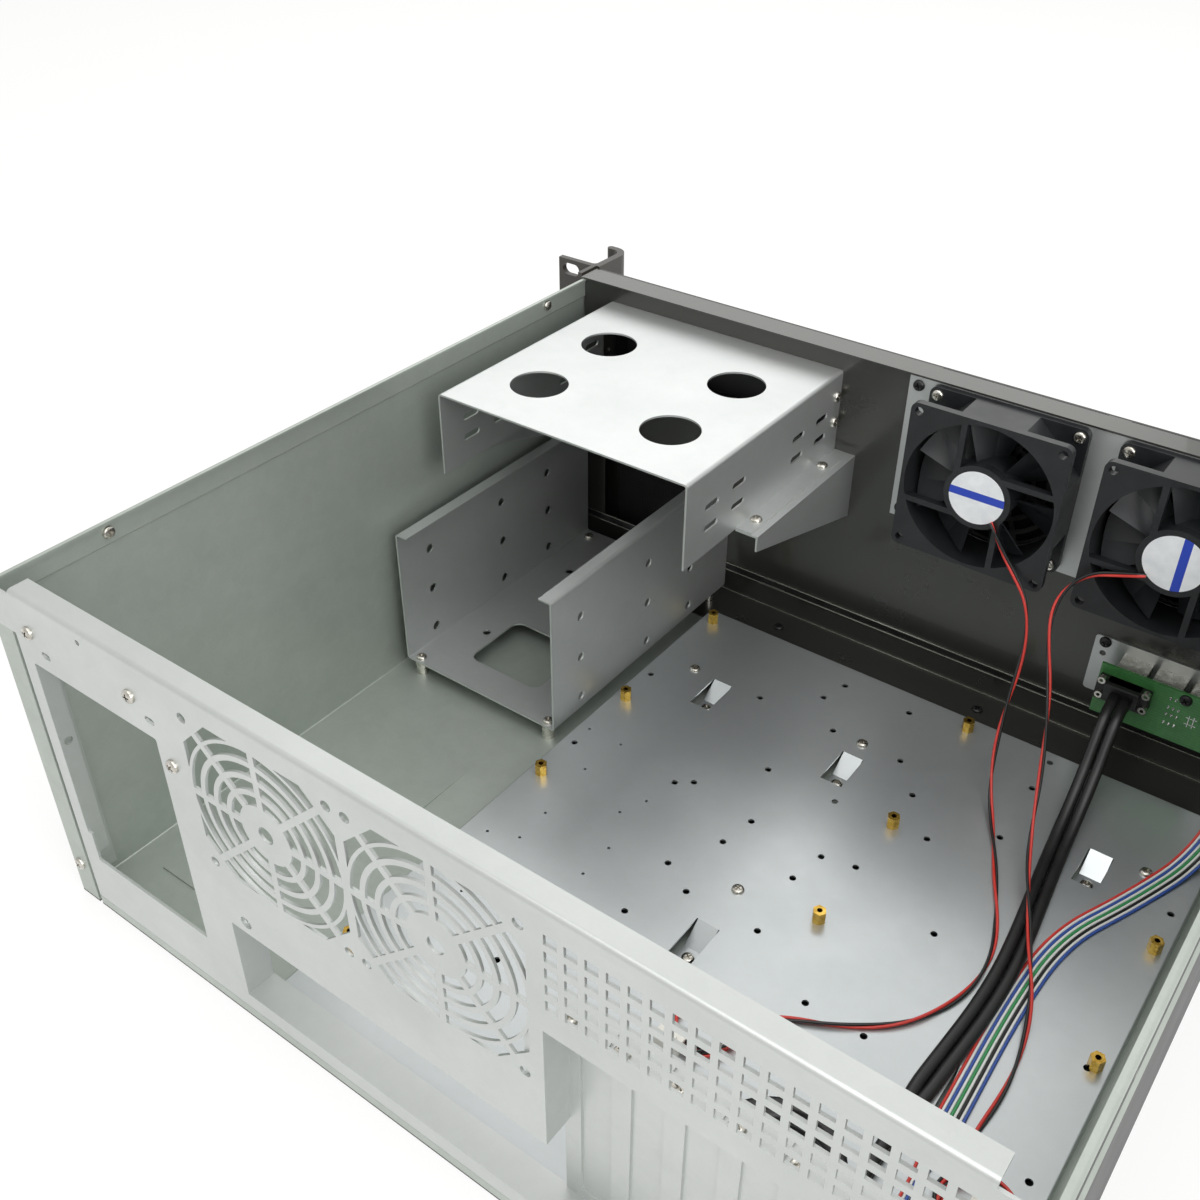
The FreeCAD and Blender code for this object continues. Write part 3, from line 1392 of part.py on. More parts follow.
def front_io_plate():
    body = new_body("front_io_plate")
    face = facing_y(body, -plate_rear)
    rectangle(face, -io_plate_left, S.io_plate_bottom, -S.io_plate_right, io_plate_top, 2)
    pad(face, S.thin_sheet)
    holes = facing_y(body, -plate_rear - S.thin_sheet / 2)
    for x in usb_columns:
        rectangle(holes, x - S.usb_width / 2, S.usb_centre_height - S.usb_high / 2,
                  x + S.usb_width / 2, S.usb_centre_height + S.usb_high / 2)
    for x in jack_columns:
        circle(holes, x, S.usb_centre_height, S.jack_radius * 2 + S.screw_play)
    for x, z in io_plate_screws:
        circle(holes, x, z, S.screw_hole)
    circle(holes, -S.io_plate_right - S.plate_screw_inset, io_plate_top - S.io_spare_hole_drop, S.screw_hole)
    cut(holes, S.thin_sheet * 3)
    return keep(body, "front_io_plate")


def usb_board():
    body = new_body("usb_board")
    face = facing_y(body, -S.usb_board_rear)
    left = -S.usb_board_right - S.usb_board_width
    rectangle(face, left, S.usb_board_bottom, -S.usb_board_right,
              S.usb_board_bottom + S.usb_board_height)
    pad(face, S.usb_board_sheet)
    return keep(body, "usb_board")


def usb_plug():
    # The header plug on the rear of the socket board, with a cable clamp shoulder.
    body = new_body("usb_plug")
    face = facing_y(body, -S.usb_board_rear + S.usb_plug_depth)
    reach = S.usb_plug_width / 2
    tall = S.usb_plug_high / 2
    middle = -S.usb_plug_centre
    rectangle(face, middle - reach, S.usb_plug_height - tall, middle + reach,
              S.usb_plug_height + tall, 1)
    pad(face, S.usb_plug_depth)
    return keep(body, "usb_plug")


board_sockets_rear = S.usb_board_rear + S.usb_board_sheet


def usb_sockets():
    depth = S.front_face - board_sockets_rear
    items = []
    for x in usb_columns:
        shell = box("usb_shell", x - S.usb_width / 2, -S.front_face,
                    S.usb_centre_height - S.usb_high / 2, S.usb_width, depth, S.usb_high)
        wall = S.label_sheet * 2
        mouth = box("usb_mouth", x - S.usb_width / 2 + wall, -S.front_face - 1,
                    S.usb_centre_height - S.usb_high / 2 + wall, S.usb_width - wall * 2,
                    S.usb_mouth_depth + 1, S.usb_high - wall * 2)
        tongue = box("usb_tongue", x - S.usb_width / 2 + wall * 2, -S.front_face + 1,
                     S.usb_centre_height, S.usb_width - wall * 4, S.usb_mouth_depth, wall * 3)
        items.append(combine("MultiFuse", "usb_socket", combine("Cut", "usb_can", shell, mouth), tongue))
    return keep(combine("Compound", "usb_sockets", *items), "usb_sockets")


def audio_jacks():
    depth = S.front_face - board_sockets_rear
    items = []
    for x in jack_columns:
        outer = rod("jack_shell", x, -S.front_face, S.usb_centre_height, S.jack_radius, depth, (0, 1, 0))
        inner = rod("jack_mouth", x, -S.front_face - 1, S.usb_centre_height, S.jack_radius / 2,
                    S.usb_mouth_depth + 1, (0, 1, 0))
        items.append(combine("Cut", "audio_jack", outer, inner))
    return keep(combine("Compound", "audio_jacks", *items), "audio_jacks")


def push_button(label, height, size):
    # A square cap through the front, a flange behind it and a stem that reaches the switch.
    body = new_body(label)
    reach = size / 2
    cap = facing_y(body, -front_inner + S.button_clearance)
    rectangle(cap, button_x - reach, height - reach, button_x + reach, height + reach, reach * 0.3)
    pad(cap, S.bezel_sheet + S.button_clearance + S.button_proud)
    flange = facing_y(body, -front_inner + S.button_clearance + S.button_flange)
    wide = reach + S.button_flange
    rectangle(flange, button_x - wide, height - wide, button_x + wide, height + wide)
    pad(flange, S.button_flange)
    stem = facing_y(body, -button_stem_end)
    circle(stem, button_x, height, S.reset_size * 0.7)
    pad(stem, front_inner - button_stem_end - S.button_clearance - S.button_flange / 2)
    return keep(body, label)


button_stem_end = board_front + S.switch_height + S.button_travel + S.button_clearance


def button_board():
    body = new_body("button_board")
    face = facing_y(body, -board_front + S.button_board_sheet)
    bottom = S.led_first_height - S.led_pitch * 2 - S.board_margin
    rectangle(face, button_x - S.board_margin, bottom, button_x + S.board_margin,
              S.power_height + S.board_margin)
    pad(face, S.button_board_sheet)
    switches = facing_y(body, -board_front)
    for height in (S.power_height, S.reset_height):
        rectangle(switches, button_x - 3, height - 3, button_x + 3, height + 3)
    pad(switches, S.switch_height)
    return keep(body, "button_board")


def led_lenses():
    items = [rod("led", button_x, -S.front_face - S.led_diameter / 4,
                 S.led_first_height - S.led_pitch * number, S.led_diameter / 2,
                 S.board_standback + S.led_diameter / 4, (0, 1, 0)) for number in range(3)]
    return keep(combine("Compound", "led_lenses", *items), "led_lenses")


# ---- cords ----

# Hand-chosen route points, (x, y, z), from the part that each cord leaves to its coil.
FAN_LEAD_1 = [
    (-54.9, -156.05, 124.2), (-62, -156.05, 112.5), (-71.4, -155.8, 101), (-80.5, -151.5, 93),
    (-86.5, -146, 80), (-89.5, -136.5, 64.5), (-90.6, -124, 47.5), (-93.8, -110.5, 30.5),
    (-99.5, -97, 17.6), (-108, -82.5, 11.9), (-116, -66.5, 11.4), (-124.6, -48, 11.3),
    (-133, -29.5, 11.4), (-139.5, -10.5, 11.3), (-140, 10, 11.3), (-134.5, 30, 11.35),
    (-123, 48, 11.3), (-106, 61.5, 11.3), (-86.5, 71, 11.35), (-73.6, 81, 11.3), (-74, 95, 11.3)]
FAN_LEAD_2 = [
    (-129.8, -156.05, 124.2), (-118, -156, 120.2), (-106.5, -154.3, 116.8), (-98.4, -149.6, 108.6),
    (-96.2, -143, 97.5), (-100.5, -134, 84), (-108.8, -122.5, 69.3), (-115.6, -109, 53.5),
    (-121.9, -93.5, 37), (-127.2, -77, 25.8), (-133.5, -59.5, 19.6), (-142.8, -38, 18.1),
    (-153, -14.5, 16.8), (-162, 5, 15.6), (-168, 26, 12.6), (-171.3, 48, 11.4), (-172.4, 72, 11.3),
    (-172, 97, 11.3)]
USB_CABLE = [
    (-134, -161, 50), (-134.4, -147.5, 48.6), (-135.2, -137, 39), (-136.1, -126, 28.5),
    (-137.2, -110, 19.2), (-138.6, -90.5, 13.6), (-140.8, -69, 12.6), (-143.4, -47, 12.5),
    (-146, -25, 12.6), (-147.8, -2, 12.5), (-147.6, 22, 12.5), (-145.8, 46, 12.6),
    (-143.8, 70, 12.5), (-143.2, 92, 12.5), (-143, 113, 12.55), (-143, 135, 12.5)]
PANEL_RIBBON = [
    (-201, -188.4, 86), (-201, -175.5, 85), (-200.4, -165, 76), (-199.3, -155.5, 62),
    (-198, -146, 47), (-196.8, -136.5, 32), (-194.8, -125.5, 18.8), (-189.6, -108, 12.6),
    (-182.2, -88.5, 12.1), (-173.2, -66.5, 12), (-163.6, -45.5, 12), (-158.4, -23, 12.1),
    (-157, 2, 12), (-156.8, 27, 12), (-157.4, 52, 12.05), (-158, 76, 12), (-158.2, 100, 12),
    (-158, 122, 12.05), (-158, 145, 12)]

COIL_CENTRES = {
    "fan_lead_1": (-60, 95), "fan_lead_2": (-186, 97), "usb_cable": (-117, 135),
    "panel_ribbon": (-180, 145)}


def cord_path(points, radii):
    # Straight runs joined by tangent arcs, each as large as its two runs allow.
    corners = [FreeCAD.Vector(*point) for point in points]
    start = corners[0]
    edges = []
    for before, corner, after in zip(corners, corners[1:], corners[2:]):
        incoming = before - corner
        outgoing = after - corner
        half_turn = (math.pi - incoming.getAngle(outgoing)) / 2
        setback = 0.45 * min(incoming.Length, outgoing.Length)
        radii.append(setback / math.tan(half_turn))
        incoming.normalize()
        outgoing.normalize()
        entry = corner + incoming * setback
        leave = corner + outgoing * setback
        inward = (incoming + outgoing).normalize()
        depth = radii[-1] * (1 / math.cos(half_turn) - 1)
        edges.append(Part.LineSegment(start, entry).toShape())
        edges.append(Part.Arc(entry, corner + inward * depth, leave).toShape())
        start = leave
    edges.append(Part.LineSegment(start, corners[-1]).toShape())
    return Part.Wire(edges)


def cord_tube(label, points, diameter):
    radii = []
    path = cord_path(points, radii)
    heading = FreeCAD.Vector(*points[1]) - FreeCAD.Vector(*points[0])
    section = Part.Wire(Part.makeCircle(diameter.value / 2, FreeCAD.Vector(*points[0]), heading))
    tube = doc.addObject("Part::Feature", label)
    tube.Shape = path.makePipeShell([section], True, True)
    tube.Placement = FreeCAD.Placement()
    expected = math.pi * diameter.value ** 2 / 4 * path.Length
    print(f"{label}: length {path.Length:.1f}, smallest radius {min(radii):.1f}, "
          f"volume {tube.Shape.Volume / expected:.4f} of section times length")
    return keep(tube, label)


def coil_and_plug(name, centre, radius, diameter, layers, plug_size):
    # The wound rest of a cord as a ring on the tray, and the connector that ends it.
    x, y = centre
    outer = radius + diameter
    height = diameter * layers
    ring = combine("Cut", f"{name}_coil",
                   rod(f"{name}_ring", x, y, S.tray_top, outer, height),
                   rod(f"{name}_eye", x, y, S.tray_top - 1, radius - diameter, height + 2))
    keep(ring, f"{name}_coil")
    length, width, tall = plug_size
    plug = box(f"{name}_plug", x + S.plug_offset, y + radius - width / 4, S.tray_top,
               length, width, tall)
    keep(plug, f"{name}_plug")


# ---- assembly ----

chassis_tub()
rear_panel()
io_slot_pan()
for order, place_x in enumerate(slot_columns, start=1):
    slot_cover(order, place_x)
motherboard_tray()
standoffs()
hdd_cage()
hdd_cage_posts()
optical_cage()
cage_bracket("cage_bracket_right", S.bay_right - S.side_clearance, S.bay_right - S.bracket_web_offset, 1)
cage_bracket("cage_bracket_left", bay_left + S.side_clearance, bay_left + S.bracket_web_offset, -1)
front_wall()
front_bezel()
bay_cover()
rack_ear("rack_ear_right", 1)
rack_ear("rack_ear_left", -1)
fan_plate()
rotor_form = fan_rotor_form()
for order, place_x in enumerate(fan_columns, start=1):
    fan_frame(order, place_x)
    fan_rotor(order, place_x, rotor_form)
    fan_label(order, place_x)
front_io_plate()
usb_board()
usb_sockets()
audio_jacks()
push_button("power_button", S.power_height, S.power_size)
push_button("reset_button", S.reset_height, S.reset_size)
button_board()
led_lenses()

usb_plug()
cord_tube("fan_lead_1", FAN_LEAD_1, S.lead_diameter)
cord_tube("fan_lead_2", FAN_LEAD_2, S.lead_diameter)
cord_tube("usb_cable", USB_CABLE, S.usb_cable_diameter)
cord_tube("panel_ribbon", PANEL_RIBBON, S.ribbon_diameter)
fan_plug = S.fan_plug_length, S.fan_plug_width, S.fan_plug_width
coil_and_plug("fan_lead_1", COIL_CENTRES["fan_lead_1"], S.lead_coil_radius, S.lead_diameter, 2, fan_plug)
coil_and_plug("fan_lead_2", COIL_CENTRES["fan_lead_2"], S.lead_coil_radius, S.lead_diameter, 2, fan_plug)
header_plug = S.header_length, S.header_width, S.header_width
coil_and_plug("usb_cable", COIL_CENTRES["usb_cable"], S.usb_coil_radius, S.usb_cable_diameter, 1, header_plug)
coil_and_plug("panel_ribbon", COIL_CENTRES["panel_ribbon"], S.ribbon_coil_radius,
              S.ribbon_diameter, 2, header_plug)

machine_screw = screw("machine_screw", S.screw_head / 2, S.screw_head_height,
                      (S.screw_hole - S.screw_play) / 2, S.sheet)
long_screw = screw("long_screw", S.screw_head / 2, S.screw_head_height,
                   (S.screw_hole - S.screw_play) / 2, S.sheet * 4)
up, rearward = (0, 0, 1), (0, 1, 0)
screw_group("slot_cover_screws", machine_screw, [
    (up, [(x + S.cover_screw_offset, cover_screw_y, S.slot_top + S.cover_sheet) for x in slot_columns])])
screw_group("tray_screws", machine_screw, [
    (up, [(x, y, S.tray_top) for x, y in tray_plate_screws]),
    (up, [(x, y, S.sheet + S.thin_sheet) for x, y in foot_screws])])
screw_group("hdd_cage_screws", long_screw, [
    (up, [(x, y, S.hdd_floor + S.thin_sheet) for x, y in post_spots])])
screw_group("optical_cage_screws", machine_screw, [
    (up, [(x, y, S.bay_bottom) for x in bay_flange_columns for y in bay_screw_rows]),
    ((-1, 0, 0), [(S.bay_right, y, z) for y, z in bay_front_screws]),
    ((1, 0, 0), [(bay_left, y, z) for y, z in bay_front_screws])])
screw_group("fan_screws", long_screw, [
    (rearward, [(corner_x, -plate_rear + S.fan_flange, corner_z) for x in fan_columns
                for corner_x, corner_z in square_spots(x, S.fan_height, S.fan_screw_half)])])
screw_group("front_wall_screws", machine_screw, [
    (rearward, [(x, -plate_rear, z) for x, z in fan_plate_screws + io_plate_screws]),
    (up, [(x, y, S.sheet + S.thin_sheet) for x, y in front_floor_holes])])
screw_group("case_screws", machine_screw, [
    (rearward, [(x, S.rear_face, z) for x, z in rear_screws]),
    ((-1, 0, 0), [(band_inner, y, z) for y, z in band_screws]),
    ((1, 0, 0), [(-band_inner, y, z) for y, z in band_screws])])
screw_group("ear_screws", machine_screw, [
    ((1, 0, 0), [(half + S.ear_leg, y, z) for y, z in ear_screw_spots]),
    ((-1, 0, 0), [(-half - S.ear_leg, y, z) for y, z in ear_screw_spots])])

doc.recompute()
failed = [f"{item.Name}: {item.State}" for item in doc.Objects
          if "Invalid" in item.State or "Error" in item.State]
for item in nodes:
    if item.Shape.isNull() or not item.Shape.isValid() or not item.Shape.Solids:
        failed.append(f"{item.Label}: no valid solid")
if failed:
    sys.exit("\n".join(failed))
os.makedirs("parts", exist_ok=True)
for item in nodes:
    item.Shape.exportStep(f"parts/{item.Label}.step")
print(len(nodes), "parts written")
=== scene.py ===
import math

import bmesh
import bpy
from mathutils import Matrix, Vector


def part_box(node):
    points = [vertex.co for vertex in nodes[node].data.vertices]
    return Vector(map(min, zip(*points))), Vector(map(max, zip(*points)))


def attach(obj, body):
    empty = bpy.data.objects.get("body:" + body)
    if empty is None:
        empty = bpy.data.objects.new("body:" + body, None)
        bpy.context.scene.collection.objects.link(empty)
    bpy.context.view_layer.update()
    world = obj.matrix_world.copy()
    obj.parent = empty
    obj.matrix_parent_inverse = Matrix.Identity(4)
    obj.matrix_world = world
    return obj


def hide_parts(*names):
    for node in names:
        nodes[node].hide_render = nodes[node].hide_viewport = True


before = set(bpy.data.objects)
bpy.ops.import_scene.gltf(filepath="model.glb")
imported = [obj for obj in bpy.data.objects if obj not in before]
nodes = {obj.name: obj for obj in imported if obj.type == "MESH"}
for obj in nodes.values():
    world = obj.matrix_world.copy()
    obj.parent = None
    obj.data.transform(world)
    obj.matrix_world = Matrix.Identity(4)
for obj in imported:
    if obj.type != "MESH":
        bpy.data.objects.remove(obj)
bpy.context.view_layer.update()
bpy.ops.object.select_all(action="DESELECT")
print("packed model loaded:", len(nodes), "nodes")

cameraSet = {
    "place": (-0.22368, 0.38770, 0.46401), "heading": (0.484386, -0.651333, -0.584069),
    "rollDegrees": 0.176, "lens": 39.303, "sensor": 36, "clip": (0.02, 60)}
studioSet = {
    "floor": "#f4f4f2", "worldColour": "#f5f5f3", "worldStrength": 0.85,
    "floorSize": 30, "floorDrop": 0.0003, "floorGlow": 0.72,
    # name: (place, aim, width, height, power)
    "lamps": {
        "backSoftbox": ((0.9, -1.5, 1.35), (0.05, -0.02, 0.1), 1.8, 1.2, 8),
        "topSoftbox": ((-0.3, 0.35, 1.9), (0.0, 0.0, 0.1), 1.6, 1.6, 17),
        "sideSoftbox": ((-1.7, 0.9, 1.0), (0.0, 0.05, 0.1), 1.2, 1.2, 22)}}


def toLinear(code):
    # an sRGB hex value as linear colour
    parts = [int(code[at:at + 2], 16) / 255 for at in (1, 3, 5)]
    return tuple(part / 12.92 if part <= 0.04045 else ((part + 0.055) / 1.055) ** 2.4
                 for part in parts) + (1,)


def addNode(tree, kind, settings=None, links=None):
    node = tree.nodes.new(kind)
    for key, value in (settings or {}).items():
        if isinstance(key, int) or key in node.inputs:
            node.inputs[key].default_value = value
        else:
            setattr(node, key, value)
    for key, source in (links or {}).items():
        tree.links.new(source, node.inputs[key])
    return node


def startMaterial(name, colour, sockets):
    material = bpy.data.materials.new(name)
    material.use_nodes = True
    tree = material.node_tree
    shader = tree.nodes["Principled BSDF"]
    shader.inputs["Base Color"].default_value = toLinear(colour)
    for key, value in sockets.items():
        shader.inputs[key].default_value = value
    place = addNode(tree, "ShaderNodeTexCoord").outputs["Object"]
    return material, tree, shader, place


def mixColours(tree, factor, first, second):
    # each colour is a hex value or another node's output
    settings, links = {"data_type": "RGBA"}, {0: factor}
    for socket, colour in ((6, first), (7, second)):
        if isinstance(colour, str):
            settings[socket] = toLinear(colour)
        else:
            links[socket] = colour
    return addNode(tree, "ShaderNodeMix", settings, links).outputs[2]


def spread(tree, source, low, high, fromLow=0.0, fromHigh=1.0):
    # a value between fromLow and fromHigh, spread from low to high
    return addNode(tree, "ShaderNodeMapRange", {
        "From Min": fromLow, "From Max": fromHigh, "To Min": low, "To Max": high},
        {"Value": source}).outputs["Result"]


def noise(tree, place, millimetres, detail=3, rough=0.55):
    # a cloud whose lumps are about that many millimetres across
    return addNode(tree, "ShaderNodeTexNoise", {
        "Scale": 1000 / millimetres, "Detail": detail, "Roughness": rough},
        {"Vector": place}).outputs["Fac"]


def stretched(tree, place, x, y, z):
    # pattern space in which a unit is x, y and z millimetres of the piece
    return addNode(tree, "ShaderNodeMapping", {
        "Scale": (1000 / x, 1000 / y, 1000 / z)}, {"Vector": place}).outputs["Vector"]


def addBump(tree, shader, height, distance, strength=1.0):
    bump = addNode(tree, "ShaderNodeBump", {"Distance": distance, "Strength": strength},
                   {"Height": height})
    tree.links.new(bump.outputs["Normal"], shader.inputs["Normal"])


zincSet = {
    # sizes in mm: crystals, handling smudges, fine grain, rolling marks
    "spangle": 5.0, "smudge": 60.0, "grain": 1.1, "roll": (0.9, 38, 38),
    "spangleShare": 0.16, "smudgeShare": 0.7, "facet": 0.008, "relief": 0.00002,
    "metallic": 0.8, "bodyMetallic": 0.68, "outerPaint": "#1b1b1b", "undersideBelow": 0.0009,
    # name: (light, dark, roughness, grain strength)
    "kinds": {
        "galvanisedBody": ("#bcc3bc", "#aab1aa", 0.46, 0.16),
        "galvanisedPanel": ("#cbcecc", "#bfc2c0", 0.4, 0.14),
        "galvanisedCage": ("#cfd1d0", "#c5c8c7", 0.4, 0.10),
        "galvanisedTray": ("#ccd0d1", "#c2c7c8", 0.33, 0.10)}}


def zincColour(tree, place, light, dark, grainShare):
    # the sheet's colour, and the smudges, crystals and grain that its sheen follows
    cells = addNode(tree, "ShaderNodeTexVoronoi", {"Scale": 1000 / zincSet["spangle"]},
                    {"Vector": place})
    cell = addNode(tree, "ShaderNodeSeparateColor", None, {"Color": cells.outputs["Color"]})
    smudge = noise(tree, place, zincSet["smudge"], 5, 0.62)
    grain = noise(tree, place, zincSet["grain"], 2)
    crystals = spread(tree, cell.outputs[0], 0.0, zincSet["spangleShare"])
    lumps = spread(tree, smudge, 0.0, zincSet["smudgeShare"], 0.3, 0.7)
    fine = spread(tree, grain, 0.0, grainShare, 0.25, 0.75)
    both = addNode(tree, "ShaderNodeMath", {"operation": "ADD"}, {0: crystals, 1: lumps})
    total = addNode(tree, "ShaderNodeMath", {"operation": "ADD", "use_clamp": True},
                    {0: both.outputs[0], 1: fine})
    return mixColours(tree, total.outputs[0], light, dark), smudge, cell.outputs[1], grain


def galvanised(name):
    # zinc-coated steel sheet: crystals a few mm across, a soft metal sheen, handling smudges
    light, dark, roughness, grainShare = zincSet["kinds"][name]
    material, tree, shader, place = startMaterial(name, light, {"Metallic": zincSet["metallic"]})
    colour, smudge, crystal, grain = zincColour(tree, place, light, dark, grainShare)
    tree.links.new(colour, shader.inputs["Base Color"])
    dull = spread(tree, smudge, roughness - 0.02, roughness + 0.03, 0.3, 0.7)
    facet = spread(tree, crystal, -zincSet["facet"], zincSet["facet"])
    rough = addNode(tree, "ShaderNodeMath", {"operation": "ADD"}, {0: dull, 1: facet})
    tree.links.new(rough.outputs[0], shader.inputs["Roughness"])
    rolled = noise(tree, stretched(tree, place, *zincSet["roll"]), 1000, 2)
    relief = addNode(tree, "ShaderNodeMath", {"operation": "ADD"}, {0: rolled, 1: grain})
    addBump(tree, shader, relief.outputs[0], zincSet["relief"], 0.25)
    return material


paintSet = {
    # sizes in mm: rub marks and orange peel, whose depth is in metres
    "rub": 34, "peel": 1.5, "peelDepth": 0.00003,
    # name: (colour, rubbed colour, roughness, peel strength, clear coat, metal flake)
    "kinds": {
        "glossBlackPaint": ("#52524f", "#545450", 0.28, 0.03, 0.3, 0.75),
        # the light grey kind below is a painted highlight for the front wall's ridges, not rubbed paint
        "rubbedEdge": ("#a3a39c", "#8a8a84", 0.26, 0.05, 0.2, 0.85),
        "satinBlackPaint": ("#211f1d", "#3b3733", 0.4, 0.4, 0.0, 0.0),
        "anodisedEar": ("#37332f", "#57524d", 0.38, 0.3, 0.0, 0.0),
        "blackScrew": ("#161616", "#3c3b3a", 0.3, 0.2, 0.0, 0.0),
        "guardSteel": ("#4b4c4a", "#5a5b58", 0.34, 0.2, 0.2, 0.5)}}


def paint(name):
    # oven-baked paint on steel, the dyed coat of the ears, and light grey paint as painted highlight lines
    # on the wall's ridges: orange peel, faint rub marks
    colour, worn, roughness, peel, coat, flake = paintSet["kinds"][name]
    material, tree, shader, place = startMaterial(
        name, colour, {"IOR": 1.5, "Coat Weight": coat, "Metallic": flake})
    rub = noise(tree, place, paintSet["rub"], 5, 0.65)
    tree.links.new(mixColours(tree, spread(tree, rub, 0.0, 0.4, 0.45, 0.8), colour, worn),
                   shader.inputs["Base Color"])
    tree.links.new(spread(tree, rub, roughness - 0.01, roughness + 0.02, 0.3, 0.75),
                   shader.inputs["Roughness"])
    addBump(tree, shader, noise(tree, place, paintSet["peel"], 2), paintSet["peelDepth"], peel)
    return material


def bodyFinish():
    # the tub is bare zinc inside and painted black on its outer faces
    light, dark, roughness, grainShare = zincSet["kinds"]["galvanisedBody"]
    material, tree, shader, place = startMaterial("galvanisedBody", light, {})
    colour, smudge, _, grain = zincColour(tree, place, light, dark, grainShare)
    facing = addNode(tree, "ShaderNodeTexCoord").outputs["Normal"]
    where = addNode(tree, "ShaderNodeSeparateXYZ", None, {"Vector": place})
    turn = addNode(tree, "ShaderNodeSeparateXYZ", None, {"Vector": facing})
    outward = addNode(tree, "ShaderNodeMath", {"operation": "MULTIPLY"},
                      {0: where.outputs["X"], 1: turn.outputs["X"]})
    side = addNode(tree, "ShaderNodeMath", {"operation": "GREATER_THAN", 1: 0.2},
                   {0: outward.outputs[0]})
    low = addNode(tree, "ShaderNodeMath", {
        "operation": "LESS_THAN", 1: zincSet["undersideBelow"]}, {0: where.outputs["Z"]})
    outside = addNode(tree, "ShaderNodeMath", {"operation": "MAXIMUM"},
                      {0: side.outputs[0], 1: low.outputs[0]})
    tree.links.new(mixColours(tree, outside.outputs[0], colour, zincSet["outerPaint"]),
                   shader.inputs["Base Color"])
    tree.links.new(spread(tree, outside.outputs[0], zincSet["bodyMetallic"], 0.0),
                   shader.inputs["Metallic"])
    dull = spread(tree, smudge, roughness - 0.03, roughness + 0.04, 0.3, 0.7)
    tree.links.new(dull, shader.inputs["Roughness"])
    addBump(tree, shader, grain, zincSet["relief"], 0.35)
    return material


metalSet = {
    # size in mm of the tool marks, and their depth in metres
    "marks": 0.5, "markDepth": 0.00001,
    # name: (colour, tarnished colour, roughness, size in mm of the tarnish)
    "kinds": {
        "turnedBrass": ("#d9b45a", "#a8812f", 0.24, 3),
        "nickelScrew": ("#dcd9d2", "#a39e93", 0.24, 2),
        "tinPlate": ("#dbd9d2", "#a9a69c", 0.28, 4),
        "solder": ("#e4e4e2", "#b9b9b5", 0.2, 1.5)}}


def metal(name):
    # plated or turned small parts: tool marks and a little tarnish
    colour, dark, roughness, millimetres = metalSet["kinds"][name]
    material, tree, shader, place = startMaterial(name, colour, {"Metallic": 1.0})
    tarnish = noise(tree, place, millimetres, 4)
    tree.links.new(mixColours(tree, spread(tree, tarnish, 0.0, 1.0, 0.35, 0.75), colour, dark),
                   shader.inputs["Base Color"])
    tree.links.new(spread(tree, tarnish, roughness - 0.05, roughness + 0.08, 0.3, 0.7),
                   shader.inputs["Roughness"])
    addBump(tree, shader, noise(tree, place, metalSet["marks"], 2), metalSet["markDepth"], 0.4)
    return material


plasticSet = {
    # sizes in mm: cloudy gloss and moulded grain, whose depth is in metres
    "cloud": 12, "grain": 0.7, "grainDepth": 0.00003,
    # name: (colour, paler colour, roughness, grain strength, IOR)
    "kinds": {
        "fanPlastic": ("#1d1e20", "#292b2e", 0.36, 0.35, 1.5),
        "rotorPlastic": ("#222427", "#2e3134", 0.4, 0.3, 1.5),
        "blackNylon": ("#141414", "#242424", 0.42, 0.5, 1.5),
        "whiteNylon": ("#e6e4dc", "#d4d1c6", 0.4, 0.3, 1.53),
        "clearLens": ("#d9e4dc", "#c9d8cd", 0.14, 0.1, 1.49),
        "redWire": ("#c62f27", "#d9453d", 0.38, 0.15, 1.53),
        "blackWire": ("#151515", "#232323", 0.38, 0.15, 1.53),
        "whiteWire": ("#e3e4e1", "#d3d4d1", 0.38, 0.15, 1.53),
        "blueWire": ("#2c4d9c", "#3b5fb0", 0.38, 0.15, 1.53),
        "greenWire": ("#2f8a50", "#3f9c60", 0.38, 0.15, 1.53),
        "blackRubber": ("#101010", "#1c1c1c", 0.38, 0.15, 1.53)}}


def plastic(name):
    # moulded nylon, ABS or wire jacket with a spark-eroded grain under a millimetre
    colour, pale, roughness, texture, ior = plasticSet["kinds"][name]
    material, tree, shader, place = startMaterial(name, colour, {"IOR": ior})
    cloud = noise(tree, place, plasticSet["cloud"], 4)
    tree.links.new(mixColours(tree, spread(tree, cloud, 0.0, 0.6, 0.35, 0.75), colour, pale),
                   shader.inputs["Base Color"])
    tree.links.new(spread(tree, cloud, roughness - 0.04, roughness + 0.06, 0.3, 0.7),
                   shader.inputs["Roughness"])
    addBump(tree, shader, noise(tree, place, plasticSet["grain"], 2), plasticSet["grainDepth"], texture)
    return material


labelSet = {
    "paper": ("#eff1f3", "#e2e5e9"), "ink": "#2f49b8",
    # name: (node, turn in degrees, upper and lower edge of the band)
    "kinds": {
        "fanLabel1": ("fan_label_1", 0, 0.0031, -0.0011),
        "fanLabel2": ("fan_label_2", -90, 0.0055, 0.0014)}}


